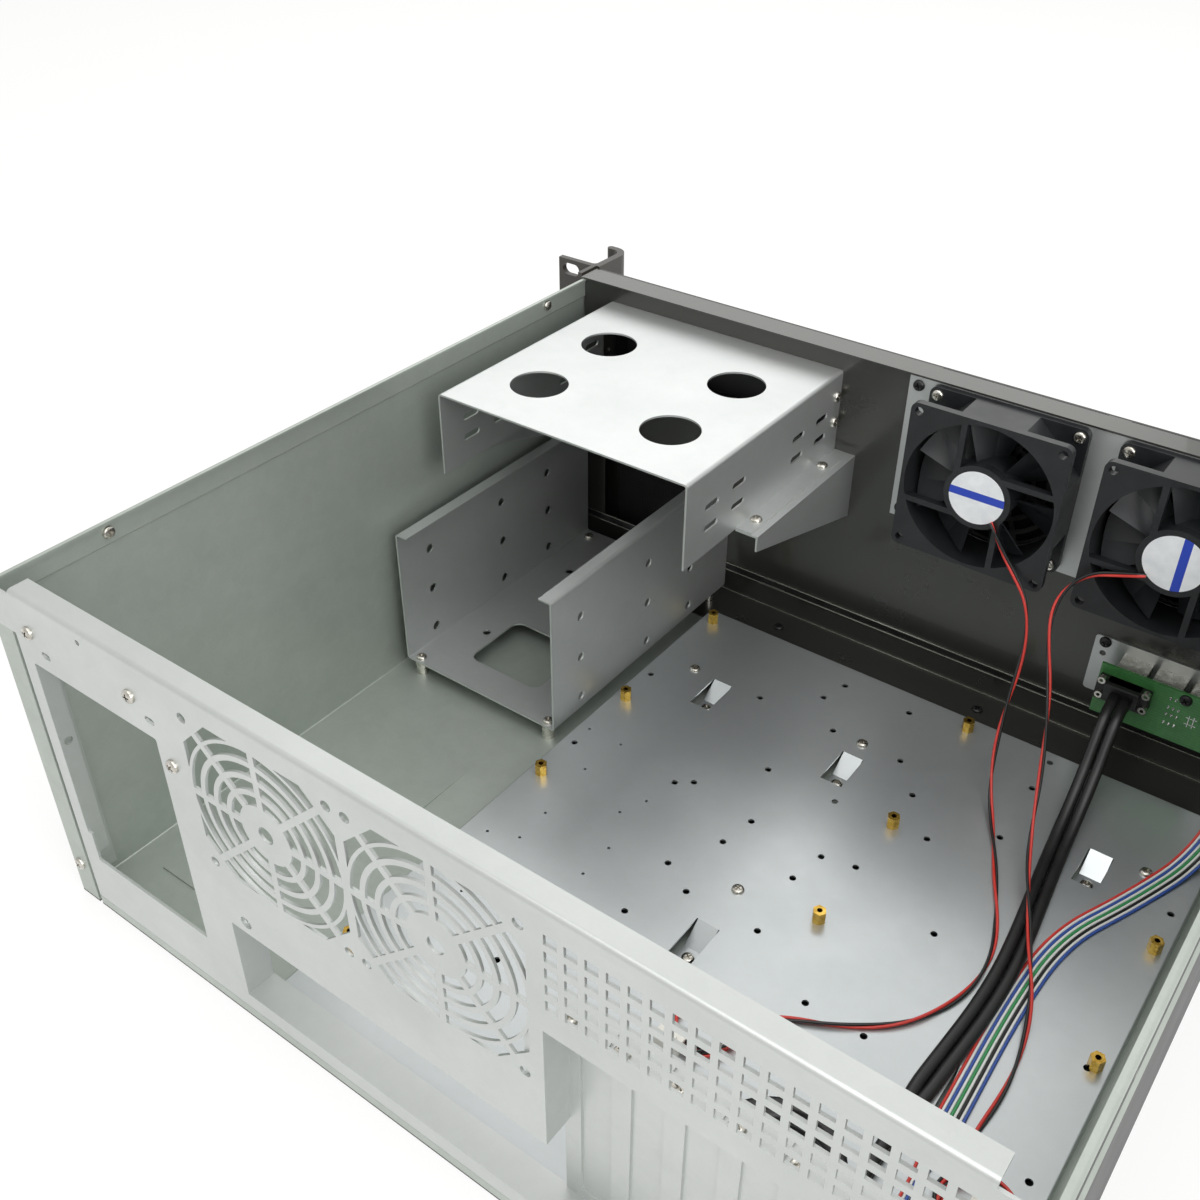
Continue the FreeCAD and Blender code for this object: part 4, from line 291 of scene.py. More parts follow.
def fanLabel(name):
    # coated paper disc: white with one printed blue band
    node, tilt, top, bottom = labelSet["kinds"][name]
    low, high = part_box(node)
    middle = (low + high) / 2
    material, tree, shader, place = startMaterial(name, "#eef0f2", {"IOR": 1.45, "Roughness": 0.34})
    centred = addNode(tree, "ShaderNodeMapping", {
        "vector_type": "TEXTURE", "Location": middle, "Rotation": (0, math.radians(tilt), 0)},
        {"Vector": place})
    along = addNode(tree, "ShaderNodeSeparateXYZ", None, {"Vector": centred.outputs["Vector"]})
    height = along.outputs["Z"]
    under = addNode(tree, "ShaderNodeMath", {"operation": "LESS_THAN", 1: top}, {0: height})
    over = addNode(tree, "ShaderNodeMath", {"operation": "GREATER_THAN", 1: bottom},
                   {0: height})
    band = addNode(tree, "ShaderNodeMath", {"operation": "MULTIPLY"},
                   {0: under.outputs[0], 1: over.outputs[0]})
    paper = mixColours(tree, spread(tree, noise(tree, place, 6, 3), 0.0, 1.0, 0.35, 0.7),
                       *labelSet["paper"])
    tree.links.new(mixColours(tree, band.outputs[0], paper, labelSet["ink"]), shader.inputs["Base Color"])
    addBump(tree, shader, noise(tree, place, 0.4, 2), 0.00001, 0.3)
    return material


clothSet = {"threads": "#191919", "gaps": "#0b0b0b", "waves": 160, "depth": 0.0002}


def gauzeCloth():
    # black polyester gauze, threads about 2 mm apart: coarser than the real weave so that it shows
    material, tree, shader, place = startMaterial("polyesterGauze", "#0d0d0d", {"Roughness": 0.8})
    threads, across = [
        addNode(tree, "ShaderNodeTexWave", {
            "wave_type": "BANDS", "bands_direction": axis, "Scale": clothSet["waves"]}, {"Vector": place})
        for axis in ("X", "Z")]
    both = addNode(tree, "ShaderNodeMath", {"operation": "MULTIPLY"},
                   {0: threads.outputs["Fac"], 1: across.outputs["Fac"]})
    tree.links.new(mixColours(tree, both.outputs[0], clothSet["gaps"], clothSet["threads"]),
                   shader.inputs["Base Color"])
    addBump(tree, shader, both.outputs[0], clothSet["depth"], 0.6)
    return material


maskSet = {
    "mask": ("#437f45", "#376d3a"), "runs": "#5c9a5c",
    # sizes in mm
    "weave": 9, "runWidth": 0.09, "runLength": 6.5, "runPitch": 1.6}


def circuitBoard():
    # glass-fibre board: green solder mask with slightly lighter copper runs beneath it
    material, tree, shader, place = startMaterial("solderMaskBoard", maskSet["mask"][0], {
        "IOR": 1.52, "Roughness": 0.3})
    runs = addNode(tree, "ShaderNodeTexBrick", {
        "Scale": 1.0, "Color1": (0, 0, 0, 1), "Color2": (0, 0, 0, 1), "Mortar": (1, 1, 1, 1),
        "Mortar Size": maskSet["runWidth"], "Brick Width": maskSet["runLength"],
        "Row Height": maskSet["runPitch"]},
        {"Vector": addNode(tree, "ShaderNodeMapping", {
            "Rotation": (math.radians(90), 0, 0), "Scale": (1000, 1000, 1000)},
            {"Vector": place}).outputs["Vector"]})
    weave = noise(tree, place, maskSet["weave"], 4)
    base = mixColours(tree, spread(tree, weave, 0.0, 1.0, 0.35, 0.7), *maskSet["mask"])
    tree.links.new(mixColours(tree, spread(tree, runs.outputs["Color"], 0.0, 0.45), base, maskSet["runs"]),
                   shader.inputs["Base Color"])
    addBump(tree, shader, runs.outputs["Color"], 0.00003, 0.5)
    return material


finish = {name: galvanised(name) for name in zincSet["kinds"] if name != "galvanisedBody"}
finish["galvanisedBody"] = bodyFinish()
for kinds, make in ((paintSet, paint), (metalSet, metal), (plasticSet, plastic), (labelSet, fanLabel)):
    for name in kinds["kinds"]:
        finish[name] = make(name)
finish["circuitBoard"] = circuitBoard()
finish["dustGauze"] = gauzeCloth()
print("materials made:", len(finish))

finishOf = {
    "chassis_tub": "galvanisedBody", "rear_panel": "galvanisedPanel", "io_slot_pan": "galvanisedPanel",
    "motherboard_tray": "galvanisedTray", "hdd_cage": "galvanisedCage", "hdd_cage_posts": "nickelScrew",
    "optical_cage": "galvanisedCage", "cage_bracket_left": "galvanisedCage",
    "cage_bracket_right": "galvanisedCage", "fan_plate": "galvanisedCage",
    "front_io_plate": "galvanisedCage", "front_wall": "glossBlackPaint",
    "front_bezel": "satinBlackPaint", "bay_cover": "blackNylon", "rack_ear_left": "anodisedEar",
    "rack_ear_right": "anodisedEar", "standoffs": "turnedBrass", "usb_board": "circuitBoard",
    "button_board": "circuitBoard", "usb_sockets": "tinPlate", "audio_jacks": "tinPlate",
    "led_lenses": "clearLens", "power_button": "blackNylon", "reset_button": "blackNylon",
    "usb_plug": "blackNylon", "usb_cable_plug": "blackNylon", "panel_ribbon_plug": "blackNylon",
    "fan_lead_1_plug": "whiteNylon", "fan_lead_2_plug": "whiteNylon",
    "fan_frame_1": "fanPlastic", "fan_frame_2": "fanPlastic", "fan_rotor_1": "rotorPlastic",
    "fan_rotor_2": "rotorPlastic", "fan_label_1": "fanLabel1", "fan_label_2": "fanLabel2",
    "slot_cover_screws": "nickelScrew", "tray_screws": "nickelScrew", "hdd_cage_screws": "nickelScrew",
    "optical_cage_screws": "nickelScrew", "case_screws": "nickelScrew", "fan_screws": "nickelScrew",
    "front_wall_screws": "blackScrew", "ear_screws": "blackScrew"}
for name, node in nodes.items():
    chosen = finishOf.get(name) or ("galvanisedPanel" if name.startswith("slot_cover") else "blackRubber")
    node.data.materials.clear()
    node.data.materials.append(finish[chosen])
print("CAD nodes finished")


def settle(piece, name, finishName, replaced=()):
    # a finished piece lies at the origin, rides on the case and stands for its solids
    bpy.ops.object.mode_set(mode="OBJECT")
    piece.name = piece.data.name = name
    bpy.ops.object.transform_apply(location=True, rotation=True, scale=True)
    piece.data.materials.append(finish[finishName])
    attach(piece, "chassis")
    if replaced:
        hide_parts(*replaced)
    bpy.ops.object.select_all(action="DESELECT")
    return piece


def applyAll(piece):
    for modifier in list(piece.modifiers):
        bpy.ops.object.modifier_apply(modifier=modifier.name)


def flatRing(place, inner, outer, thickness):
    # a washer-like ring that faces along Y
    bpy.ops.mesh.primitive_circle_add(vertices=56, radius=inner, location=place,
                                      rotation=(math.radians(90), 0, 0))
    ring = bpy.context.object
    bpy.ops.object.mode_set(mode="EDIT")
    bpy.ops.mesh.select_all(action="SELECT")
    bpy.ops.mesh.extrude_edges_move()
    bpy.ops.transform.resize(value=(outer / inner,) * 3, center_override=place)
    bpy.ops.object.mode_set(mode="OBJECT")
    solid = ring.modifiers.new("thick", "SOLIDIFY")
    solid.thickness, solid.offset = thickness, 0
    applyAll(ring)
    return ring


def bar(place, size, turn=(0, 0, 0), edge=0.0):
    # a block with softened edges
    bpy.ops.mesh.primitive_cube_add(size=1, location=place, rotation=turn)
    block = bpy.context.object
    block.scale = size
    bpy.ops.object.transform_apply(location=False, rotation=False, scale=True)
    if edge:
        soft = block.modifiers.new("edges", "BEVEL")
        soft.width, soft.segments = edge, 2
        applyAll(block)
    return block


def joined(pieces):
    bpy.ops.object.select_all(action="DESELECT")
    for piece in pieces:
        piece.select_set(True)
    bpy.context.view_layer.objects.active = pieces[0]
    bpy.ops.object.join()
    return pieces[0]


guardSet = {
    "face": -0.1866, "sheet": 0.001,
    # each ring's inner and outer radius
    "rings": ((0.0085, 0.0112), (0.0162, 0.0186), (0.0236, 0.026), (0.031, 0.0334), (0.0374, 0.0396)),
    "spokes": 8, "spokeWidth": 0.0022, "spokeSheet": 0.00098, "spokeEnds": (0.01, 0.039)}


def fanGuard(order):
    # stamped finger guard between a fan and the front: rings held by short links
    low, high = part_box(f"fan_frame_{order}")
    x, z = (low[0] + high[0]) / 2, (low[2] + high[2]) / 2
    pieces = [flatRing((x, guardSet["face"], z), inner, outer, guardSet["sheet"])
              for inner, outer in guardSet["rings"]]
    start, end = guardSet["spokeEnds"]
    middle = (start + end) / 2
    for spoke in range(guardSet["spokes"]):
        turn = math.tau * (spoke + 0.5) / guardSet["spokes"]
        pieces.append(bar((x + middle * math.cos(turn), guardSet["face"], z + middle * math.sin(turn)),
                          (end - start, guardSet["spokeSheet"], guardSet["spokeWidth"]), (0, -turn, 0)))
    return settle(joined(pieces), f"fan_guard_{order}", "guardSteel")


gauzeSet = {"face": -0.1957, "thickness": 0.0004, "fan": 0.084, "drives": (0.084, 0.078), "hem": 0.003}


def dustGauze(name, x, z, width, height):
    # woven dust filter behind the front's vents, with a welded hem
    bpy.ops.mesh.primitive_plane_add(size=1, location=(x, gauzeSet["face"], z),
                                     rotation=(math.radians(90), 0, 0))
    cloth = bpy.context.object
    cloth.scale = (width, height, 1)
    bpy.ops.object.transform_apply(location=False, rotation=False, scale=True)
    bpy.ops.object.mode_set(mode="EDIT")
    bpy.ops.mesh.select_all(action="SELECT")
    bpy.ops.mesh.inset(thickness=gauzeSet["hem"])
    bpy.ops.object.mode_set(mode="OBJECT")
    solid = cloth.modifiers.new("thick", "SOLIDIFY")
    solid.thickness, solid.offset = gauzeSet["thickness"], 0
    applyAll(cloth)
    return settle(cloth, name, "dustGauze")


screwSet = {"radius": 0.003, "rim": 0.0008, "domes": ((0.0006, 0.93), (0.0004, 0.82), (0.0002, 0.6)),
            "crossLength": 0.0034, "crossWidth": 0.0007, "crossDepth": 0.0011, "crossOver": 0.0006,
            "crossTurns": (35, 125), "shank": 0.0015, "headHeight": 0.002,
            # how far the cross turns from one screw to the next, per metre along X and Y
            "turnBy": (400, 300)}


def panHead():
    # pan head with a cross recess, facing +Z, its seat at the origin
    bpy.ops.mesh.primitive_cylinder_add(vertices=24, radius=screwSet["radius"], depth=screwSet["rim"],
                                        location=(0, 0, screwSet["rim"] / 2))
    head = bpy.context.object
    bpy.ops.object.mode_set(mode="EDIT")
    shape = bmesh.from_edit_mesh(head.data)
    for face in shape.faces:
        face.select = face.normal.z > 0.9
    bmesh.update_edit_mesh(head.data)
    height = screwSet["rim"]
    for rise, shrink in screwSet["domes"]:
        height += rise
        bpy.ops.mesh.extrude_region_move(TRANSFORM_OT_translate={"value": (0, 0, rise)})
        bpy.ops.transform.resize(value=(shrink, shrink, 1), center_override=(0, 0, height))
    bpy.ops.object.mode_set(mode="OBJECT")
    depth, over = screwSet["crossDepth"], screwSet["crossOver"]
    cutters = [bar((0, 0, height + (over - depth) / 2),
                   (screwSet["crossLength"], screwSet["crossWidth"], depth + over),
                   (0, 0, math.radians(degrees)))
               for degrees in screwSet["crossTurns"]]
    for cutter in cutters:
        bpy.ops.object.select_all(action="DESELECT")
        bpy.context.view_layer.objects.active = head
        carve = head.modifiers.new("recess", "BOOLEAN")
        carve.operation, carve.solver, carve.object = "DIFFERENCE", "EXACT", cutter
        bpy.ops.object.modifier_apply(modifier=carve.name)
        bpy.data.objects.remove(cutter)
    head.select_set(True)
    bpy.ops.object.shade_smooth_by_angle(angle=math.radians(40))
    head.select_set(False)
    return head


def islands(mesh):
    # the separate solids of a node, each as its corner points
    shape = bmesh.new()
    shape.from_mesh(mesh)
    bmesh.ops.remove_doubles(shape, verts=shape.verts, dist=0.000001)
    left, groups = set(shape.verts), []
    for start in shape.verts:
        if start not in left:
            continue
        left.remove(start)
        stack, group = [start], []
        while stack:
            corner = stack.pop()
            group.append(corner.co.copy())
            for edge in corner.link_edges:
                other = edge.other_vert(corner)
                if other in left:
                    left.remove(other)
                    stack.append(other)
        groups.append(group)
    shape.free()
    return groups


def fasten(name, head):
    # every screw of the node gets the detailed head and its own shank
    shape = bmesh.new()
    for corners in islands(nodes[name].data):
        low = Vector([min(corner[axis] for corner in corners) for axis in range(3)])
        high = Vector([max(corner[axis] for corner in corners) for axis in range(3)])
        size, middle = high - low, (low + high) / 2
        axis = max(range(3), key=lambda at: abs(size[at] - screwSet["radius"] * 2))
        wide = [corner[axis] for corner in corners
                if math.dist(corner[:axis] + corner[axis + 1:], middle[:axis] + middle[axis + 1:])
                > screwSet["radius"] * 0.9]
        heading = 1 if sum(wide) / len(wide) > middle[axis] else -1
        seat = middle.copy()
        seat[axis] = min(wide) if heading > 0 else max(wide)
        direction = Vector([heading * (at == axis) for at in range(3)])
        turn = direction.to_track_quat("Z", "Y").to_matrix().to_4x4()
        spin = Matrix.Rotation(seat.x * screwSet["turnBy"][0] + seat.y * screwSet["turnBy"][1], 4, "Z")
        copied = head.data.copy()
        copied.transform(Matrix.Translation(seat) @ turn @ spin)
        shape.from_mesh(copied)
        bpy.data.meshes.remove(copied)
        length = size[axis] - screwSet["headHeight"]
        bmesh.ops.create_cone(
            shape, cap_ends=True, segments=12, radius1=screwSet["shank"], radius2=screwSet["shank"],
            depth=length, matrix=Matrix.Translation(seat - direction * length / 2) @ turn)
    mesh = bpy.data.meshes.new(name + "_detailed")
    shape.to_mesh(mesh)
    shape.free()
    piece = bpy.data.objects.new(name + "_detailed", mesh)
    bpy.context.scene.collection.objects.link(piece)
    mesh.materials.append(finish[finishOf[name]])
    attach(piece, "chassis")
    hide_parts(name)


boardSet = {
    "face": -0.17, "pins": ((-0.1545, -0.157, -0.1595), (0.0544, 0.049, 0.0449, 0.0395)),
    "pinRadii": (0.000825, 0.000275), "pinHeight": 0.0009, "screw": (-0.1612, 0.0566),
    # a tinned hatch of two bars each way: middle, gaps, lengths
    "hatch": (-0.1662, 0.0453), "hatchGaps": (0.0023, 0.00368), "hatchLengths": (0.00552, 0.0069),
    "hatchWidth": 0.00045, "hatchSheet": 0.0003, "hatchRise": 0.0001, "hatchEdge": 0.0001}


def boardFittings():
    # soldered pin ends, a tinned hatch and the screw that holds the board
    face = boardSet["face"]
    pieces = []
    for x in boardSet["pins"][0]:
        for z in boardSet["pins"][1]:
            bpy.ops.mesh.primitive_cone_add(
                vertices=12, radius1=boardSet["pinRadii"][0], radius2=boardSet["pinRadii"][1],
                depth=boardSet["pinHeight"], location=(x, face + boardSet["pinHeight"] / 2, z),
                rotation=(math.radians(-90), 0, 0))
            pieces.append(bpy.context.object)
    x, z = boardSet["hatch"]
    gapX, gapZ = boardSet["hatchGaps"]
    lengthX, lengthZ = boardSet["hatchLengths"]
    width, sheet, edge = boardSet["hatchWidth"], boardSet["hatchSheet"], boardSet["hatchEdge"]
    level = face + boardSet["hatchRise"]
    for step in (-0.5, 0.5):
        pieces.append(bar((x, level, z + step * gapZ), (lengthX, sheet, width), edge=edge))
        pieces.append(bar((x + step * gapX, level, z), (width, sheet, lengthZ), edge=edge))
    settle(joined(pieces), "board_solder", "solder")
    screw = panHead()
    screw.rotation_euler = (math.radians(-90), 0, 0)
    screw.location = (boardSet["screw"][0], face, boardSet["screw"][1])
    screw.select_set(True)
    settle(screw, "board_screw", "blackNylon")


def ringPost(x, y, z, outer, inner, length):
    # a hollow round post that stands out along +Y, bored nine tenths of the way
    bpy.ops.mesh.primitive_circle_add(vertices=24, radius=inner, location=(x, y + length, z),
                                      rotation=(math.radians(90), 0, 0))
    post = bpy.context.object
    bpy.ops.object.mode_set(mode="EDIT")
    bpy.ops.mesh.select_all(action="SELECT")
    for grow, move in ((outer / inner, 0), (1, -length), (inner / outer, 0), (1, length * 0.9)):
        bpy.ops.mesh.extrude_edges_move(TRANSFORM_OT_translate={"value": (0, move, 0)})
        if grow != 1:
            bpy.ops.transform.resize(value=(grow, 1, grow), center_override=(x, y, z))
    bpy.ops.mesh.select_all(action="SELECT")
    bpy.ops.mesh.remove_doubles(threshold=0.00001)
    bpy.ops.mesh.normals_make_consistent(inside=False)
    bpy.ops.object.mode_set(mode="OBJECT")
    return post


plugSet = {
    "hoodShare": 0.66, "hoodCut": 0.002, "flangeBack": 0.0012, "flangeCut": 0.0026,
    "lipShare": 0.44, "lipCut": 0.001, "lipHeight": 0.0035, "lipRise": 0.002, "lipForward": 0.0004,
    "hoodEdge": 0.0006, "flangeEdge": 0.0007,
    "posts": ((-0.123, 0.0558), (-0.1232, 0.047), (-0.1446, 0.0558), (-0.1448, 0.047)),
    # outer and inner radius, length, and how far the post's foot lies behind the plug's end
    "post": (0.0019, 0.0009, 0.003), "postBack": 0.0035}


def cablePlug():
    # the moulded header plug on the port board: hood, flange and lip, with four turned posts
    low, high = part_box("usb_plug")
    (x, y, z), (width, depth, height) = (low + high) / 2, high - low
    hood = bar((x, y, z + plugSet["hoodCut"] / 2),
               (width * plugSet["hoodShare"], depth, height - plugSet["hoodCut"]), edge=plugSet["hoodEdge"])
    flange = bar((x, y - plugSet["flangeBack"], z), (width, depth - plugSet["flangeCut"], height),
                 edge=plugSet["flangeEdge"])
    lip = bar((x, y + plugSet["lipForward"], low[2] + plugSet["lipRise"]),
              (width * plugSet["lipShare"], depth - plugSet["lipCut"], plugSet["lipHeight"]),
              edge=plugSet["hoodEdge"])
    settle(joined([hood, flange, lip]), "header_plug", "blackNylon", ("usb_plug",))
    posts = [ringPost(postX, high[1] - plugSet["postBack"], postZ, *plugSet["post"])
             for postX, postZ in plugSet["posts"]]
    settle(joined(posts), "plug_posts", "nickelScrew")


# ridges: light grey painted highlight lines; channel: a near-black strip standing proud of the wall as the
# painted shade of a groove
railSet = {"face": -0.1835, "half": 0.2124, "depth": 0.0011, "edgeShare": 0.35,
           # height above the floor and width
           "ridges": ((0.0215, 0.0009), (0.0168, 0.0009), (0.0026, 0.0009)), "grooveShadeStrip": (0.0191, 0.0034),
           "grooveShadeDepth": 0.0004, "grooveShadeEdge": 0.0001}


def wallRidges():
    # rolled ridges along the foot of the front wall, coloured light grey as painted highlight lines, with a
    # near-black strip between two of them as the painted shade of a groove
    face, length, depth = railSet["face"], railSet["half"] * 2, railSet["depth"]
    pieces = [bar((0, face + depth / 2, height), (length, depth, width), edge=width * railSet["edgeShare"])
              for height, width in railSet["ridges"]]
    # light grey paint on the ridges: painted highlight
    settle(joined(pieces), "wall_highlight_ridges", "rubbedEdge")
    # near-black strip between the ridges: painted shade of a groove
    height, width = railSet["grooveShadeStrip"]
    depth = railSet["grooveShadeDepth"]
    settle(bar((0, face + depth / 2, height), (length, depth, width), edge=railSet["grooveShadeEdge"]),
           "wall_groove_painted_shade", "blackScrew")


connectorSet = {
    "wall": 0.0009, "mouth": 0.003, "edge": 0.0003,
    # the latch: shares of the housing's length and width, its height, rise and edge
    "latch": (0.5, 0.3, 0.0008), "latchRise": 0.0003, "latchEdge": 0.0002,
    # cord: (place, or none for the solid's own, turn in degrees)
    "ends": {"fan_lead_1": (None, 0), "fan_lead_2": ((-0.181, 0.104, 0.013), -90),
             "usb_cable": (None, 0), "panel_ribbon": (None, 180)}}


def connector(cord):
    # a moulded housing: contact mouth in one end, a latch on top
    low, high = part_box(cord + "_plug")
    place, turn = connectorSet["ends"][cord]
    middle, size = Vector(place) if place else (low + high) / 2, high - low
    bpy.ops.mesh.primitive_cube_add(size=1, location=middle, rotation=(0, 0, math.radians(turn)))
    housing = bpy.context.object
    housing.scale = size
    bpy.ops.object.transform_apply(location=False, rotation=False, scale=True)
    bpy.ops.object.mode_set(mode="EDIT")
    shape = bmesh.from_edit_mesh(housing.data)
    for face in shape.faces:
        face.select = face.normal.x > 0.9
    bmesh.update_edit_mesh(housing.data)
    bpy.ops.mesh.inset(thickness=connectorSet["wall"])
    bpy.ops.mesh.extrude_region_move(TRANSFORM_OT_translate={
        "value": (-connectorSet["mouth"], 0, 0), "orient_type": "LOCAL"})
    bpy.ops.object.mode_set(mode="OBJECT")
    soft = housing.modifiers.new("edges", "BEVEL")
    soft.width, soft.segments, soft.limit_method = connectorSet["edge"], 2, "ANGLE"
    applyAll(housing)
    long, wide, thick = connectorSet["latch"]
    latch = bar(middle + Vector((0, 0, size[2] / 2 + connectorSet["latchRise"])),
                (size[0] * long, size[1] * wide, thick), (0, 0, math.radians(turn)),
                connectorSet["latchEdge"])
    return settle(joined([housing, latch]), cord + "_connector", finishOf[cord + "_plug"],
                  (cord + "_plug",))


for order in (1, 2):
    fanGuard(order)
    low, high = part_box(f"fan_frame_{order}")
    dustGauze(f"dust_gauze_{order}", (low[0] + high[0]) / 2, (low[2] + high[2]) / 2,
              gauzeSet["fan"], gauzeSet["fan"])
low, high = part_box("hdd_cage")
dustGauze("dust_gauze_drives", (low[0] + high[0]) / 2, (low[2] + high[2]) / 2, *gauzeSet["drives"])
print("guards and gauze made")
screwHead = panHead()
for name in ("slot_cover_screws", "tray_screws", "hdd_cage_screws", "optical_cage_screws",
             "case_screws", "fan_screws", "front_wall_screws", "ear_screws"):
    fasten(name, screwHead)
bpy.data.objects.remove(screwHead)
print("screws detailed")
boardFittings()
cablePlug()
wallRidges()
print("board, plug and ridges made")

# red and black wire side by side: (finish, across, above, then the same two inside a round bundle)
leadPair = [("redWire", -0.00062, 0, 0, 0), ("blackWire", 0.00062, 0, 0, 0)]
# every cord: route from the part that it leaves, its coil on the tray, the tail into its plug, its wires
# coil: (middle, radius, direction, distance between turns, lower and upper height)
cordSet = {
    "fan_lead_1": {
        "route": [
            (-0.0549, -0.15605, 0.1242), (-0.062, -0.15605, 0.1125), (-0.0714, -0.1558, 0.101),
            (-0.0805, -0.1515, 0.093), (-0.0865, -0.146, 0.08), (-0.0895, -0.1365, 0.0645),
            (-0.0906, -0.124, 0.0475), (-0.0938, -0.1105, 0.0305), (-0.0995, -0.097, 0.0176),
            (-0.108, -0.0825, 0.0119), (-0.116, -0.0665, 0.0114), (-0.1246, -0.048, 0.0113),
            (-0.133, -0.0295, 0.0114), (-0.1395, -0.0105, 0.0113), (-0.14, 0.01, 0.0113),
            (-0.1345, 0.03, 0.01135), (-0.123, 0.048, 0.0113), (-0.106, 0.0615, 0.0113),
            (-0.0865, 0.071, 0.01135), (-0.0736, 0.081, 0.0113)],
        "coil": ((-0.06, 0.095), 0.014, -1, 0.0026, (0.0113, 0.0139)),
        "turns": 3, "tail": [(-0.065, 0.1105, 0.0135), (-0.0592, 0.1105, 0.013)], "wires": leadPair,
        "wireRadius": 0.0007, "flatness": 1, "sides": 8, "twist": 0.075, "diameter": 0.0026,
        "stiffness": "limp", "bundled": False},
    "fan_lead_2": {
        "route": [
            (-0.1298, -0.15605, 0.1242), (-0.118, -0.156, 0.1202), (-0.1065, -0.1543, 0.1168),
            (-0.0984, -0.1496, 0.1086), (-0.0962, -0.143, 0.0975), (-0.1005, -0.134, 0.084),
            (-0.1088, -0.1225, 0.0693), (-0.1156, -0.109, 0.0535), (-0.1219, -0.0935, 0.037),
            (-0.1272, -0.077, 0.0258), (-0.1335, -0.0595, 0.0196), (-0.1428, -0.038, 0.0181),
            (-0.153, -0.0145, 0.0168), (-0.162, 0.005, 0.0156), (-0.168, 0.026, 0.0126),
            (-0.1703, 0.050, 0.0114), (-0.168, 0.078, 0.0113)],
        "coil": ((-0.181, 0.104), 0.014, 1, 0.0026, (0.0113, 0.0139)), "turns": 3,
        "tail": [(-0.1672, 0.1085, 0.0139), (-0.1695, 0.1135, 0.0137), (-0.1745, 0.115, 0.0134),
                 (-0.179, 0.114, 0.0131), (-0.181, 0.1115, 0.013), (-0.181, 0.1098, 0.013)],
        "wires": leadPair, "wireRadius": 0.0007, "flatness": 1, "sides": 8, "twist": 0.085,
        "diameter": 0.0026, "stiffness": "limp", "bundled": False},
    "usb_cable": {
        "route": [
            (-0.134, -0.161, 0.05), (-0.1344, -0.1475, 0.0486), (-0.1352, -0.137, 0.039),
            (-0.1361, -0.126, 0.0285), (-0.1372, -0.11, 0.0192), (-0.1386, -0.0905, 0.0134),
            (-0.1408, -0.069, 0.0122), (-0.1434, -0.047, 0.0121), (-0.146, -0.025, 0.0122),
            (-0.1478, -0.002, 0.0121), (-0.1476, 0.022, 0.0121), (-0.1458, 0.046, 0.0122),
            (-0.1438, 0.07, 0.0122), (-0.1432, 0.092, 0.0128), (-0.143, 0.113, 0.0138)],
        "coil": ((-0.117, 0.135), 0.026, -1, 0.005, (0.0143, 0.0143)), "turns": 2,
        "tail": [(-0.124, 0.1628, 0.0142), (-0.1162, 0.1632, 0.014)],
        "wires": [("blackRubber", -0.0028, 0, 0, -0.0017), ("blackRubber", 0.0028, 0, 0, 0.0017)],
        "wireRadius": 0.00275, "flatness": 0.75, "sides": 20, "twist": 0, "diameter": 0.0112,
        "stiffness": "medium", "bundled": True},
    "panel_ribbon": {
        "route": [
            (-0.201, -0.1884, 0.086), (-0.201, -0.1755, 0.085), (-0.2004, -0.165, 0.076),
            (-0.1993, -0.1555, 0.062), (-0.198, -0.146, 0.047), (-0.1968, -0.1365, 0.032),
            (-0.1948, -0.1255, 0.0188), (-0.1896, -0.108, 0.0118), (-0.1822, -0.0885, 0.0109),
            (-0.1732, -0.0665, 0.0108), (-0.1636, -0.0455, 0.0108), (-0.1584, -0.023, 0.0109),
            (-0.157, 0.002, 0.0108), (-0.1568, 0.027, 0.0108), (-0.1574, 0.052, 0.0109),
            (-0.158, 0.076, 0.0112), (-0.1582, 0.1, 0.012), (-0.158, 0.122, 0.012)],
        "coil": ((-0.179, 0.147), 0.022, 1, 0.004, (0.012, 0.016)), "turns": 3,
        "tail": [(-0.1558, 0.157, 0.0155), (-0.157, 0.1665, 0.0142), (-0.1613, 0.1687, 0.014),
                 (-0.166, 0.1685, 0.014)],
        "wires": [], "wireRadius": 0.00062, "flatness": 1, "sides": 6, "twist": 0, "diameter": 0.0085,
        "stiffness": "limp", "bundled": True}}
ribbonSet = {
    "colours": ("blueWire", "whiteWire", "blackWire", "whiteWire", "greenWire", "whiteWire",
                "blueWire", "whiteWire", "redWire"),
    "flatPitch": 0.00122, "packedPitch": 0.00124}
for place, colour in enumerate(ribbonSet["colours"]):
    row, column = divmod(place, 3)
    cordSet["panel_ribbon"]["wires"].append(
        (colour, (place - 4) * ribbonSet["flatPitch"], 0,
         (column - 1) * ribbonSet["packedPitch"], (row - 1) * ribbonSet["packedPitch"]))

windingSet = {
    "points": 12, "climb": (0.1, 6), "easeIn": 5,
    # number of turns: where a turn steps outward and back inward, and how fast
    2: {"outward": (0, 6), "inward": (0.75, 6)},
    3: {"outward": (1.02, 5), "inward": (2, 5)}}


def ramp(value, start, rate):
    return min(max((value - start) * rate, 0), 1)


def windings(coil, turns):
    # the first turns lie low, the last on top of them, each a diameter beside the one before
    (x, y), radius, direction, diameter, heights = coil
    outward, inward = windingSet[turns]["outward"], windingSet[turns]["inward"]
    early, climbRate = windingSet["climb"]
    first = math.pi if direction < 0 else 0
    points = []
    for step in range(turns * windingSet["points"] + 1):
        turn = step / windingSet["points"]
        wide = ramp(turn, *outward) if turn <= inward[0] else 1 - ramp(turn, *inward)
        reach = radius + diameter * (wide - 0.5) * ramp(turn, 0, windingSet["easeIn"])
        angle = first + direction * math.tau * turn
        height = heights[0] + (heights[1] - heights[0]) * ramp(turn, turns / 2 - early, climbRate)
        points.append((x + reach * math.cos(angle), y + reach * math.sin(angle), height))
    return points


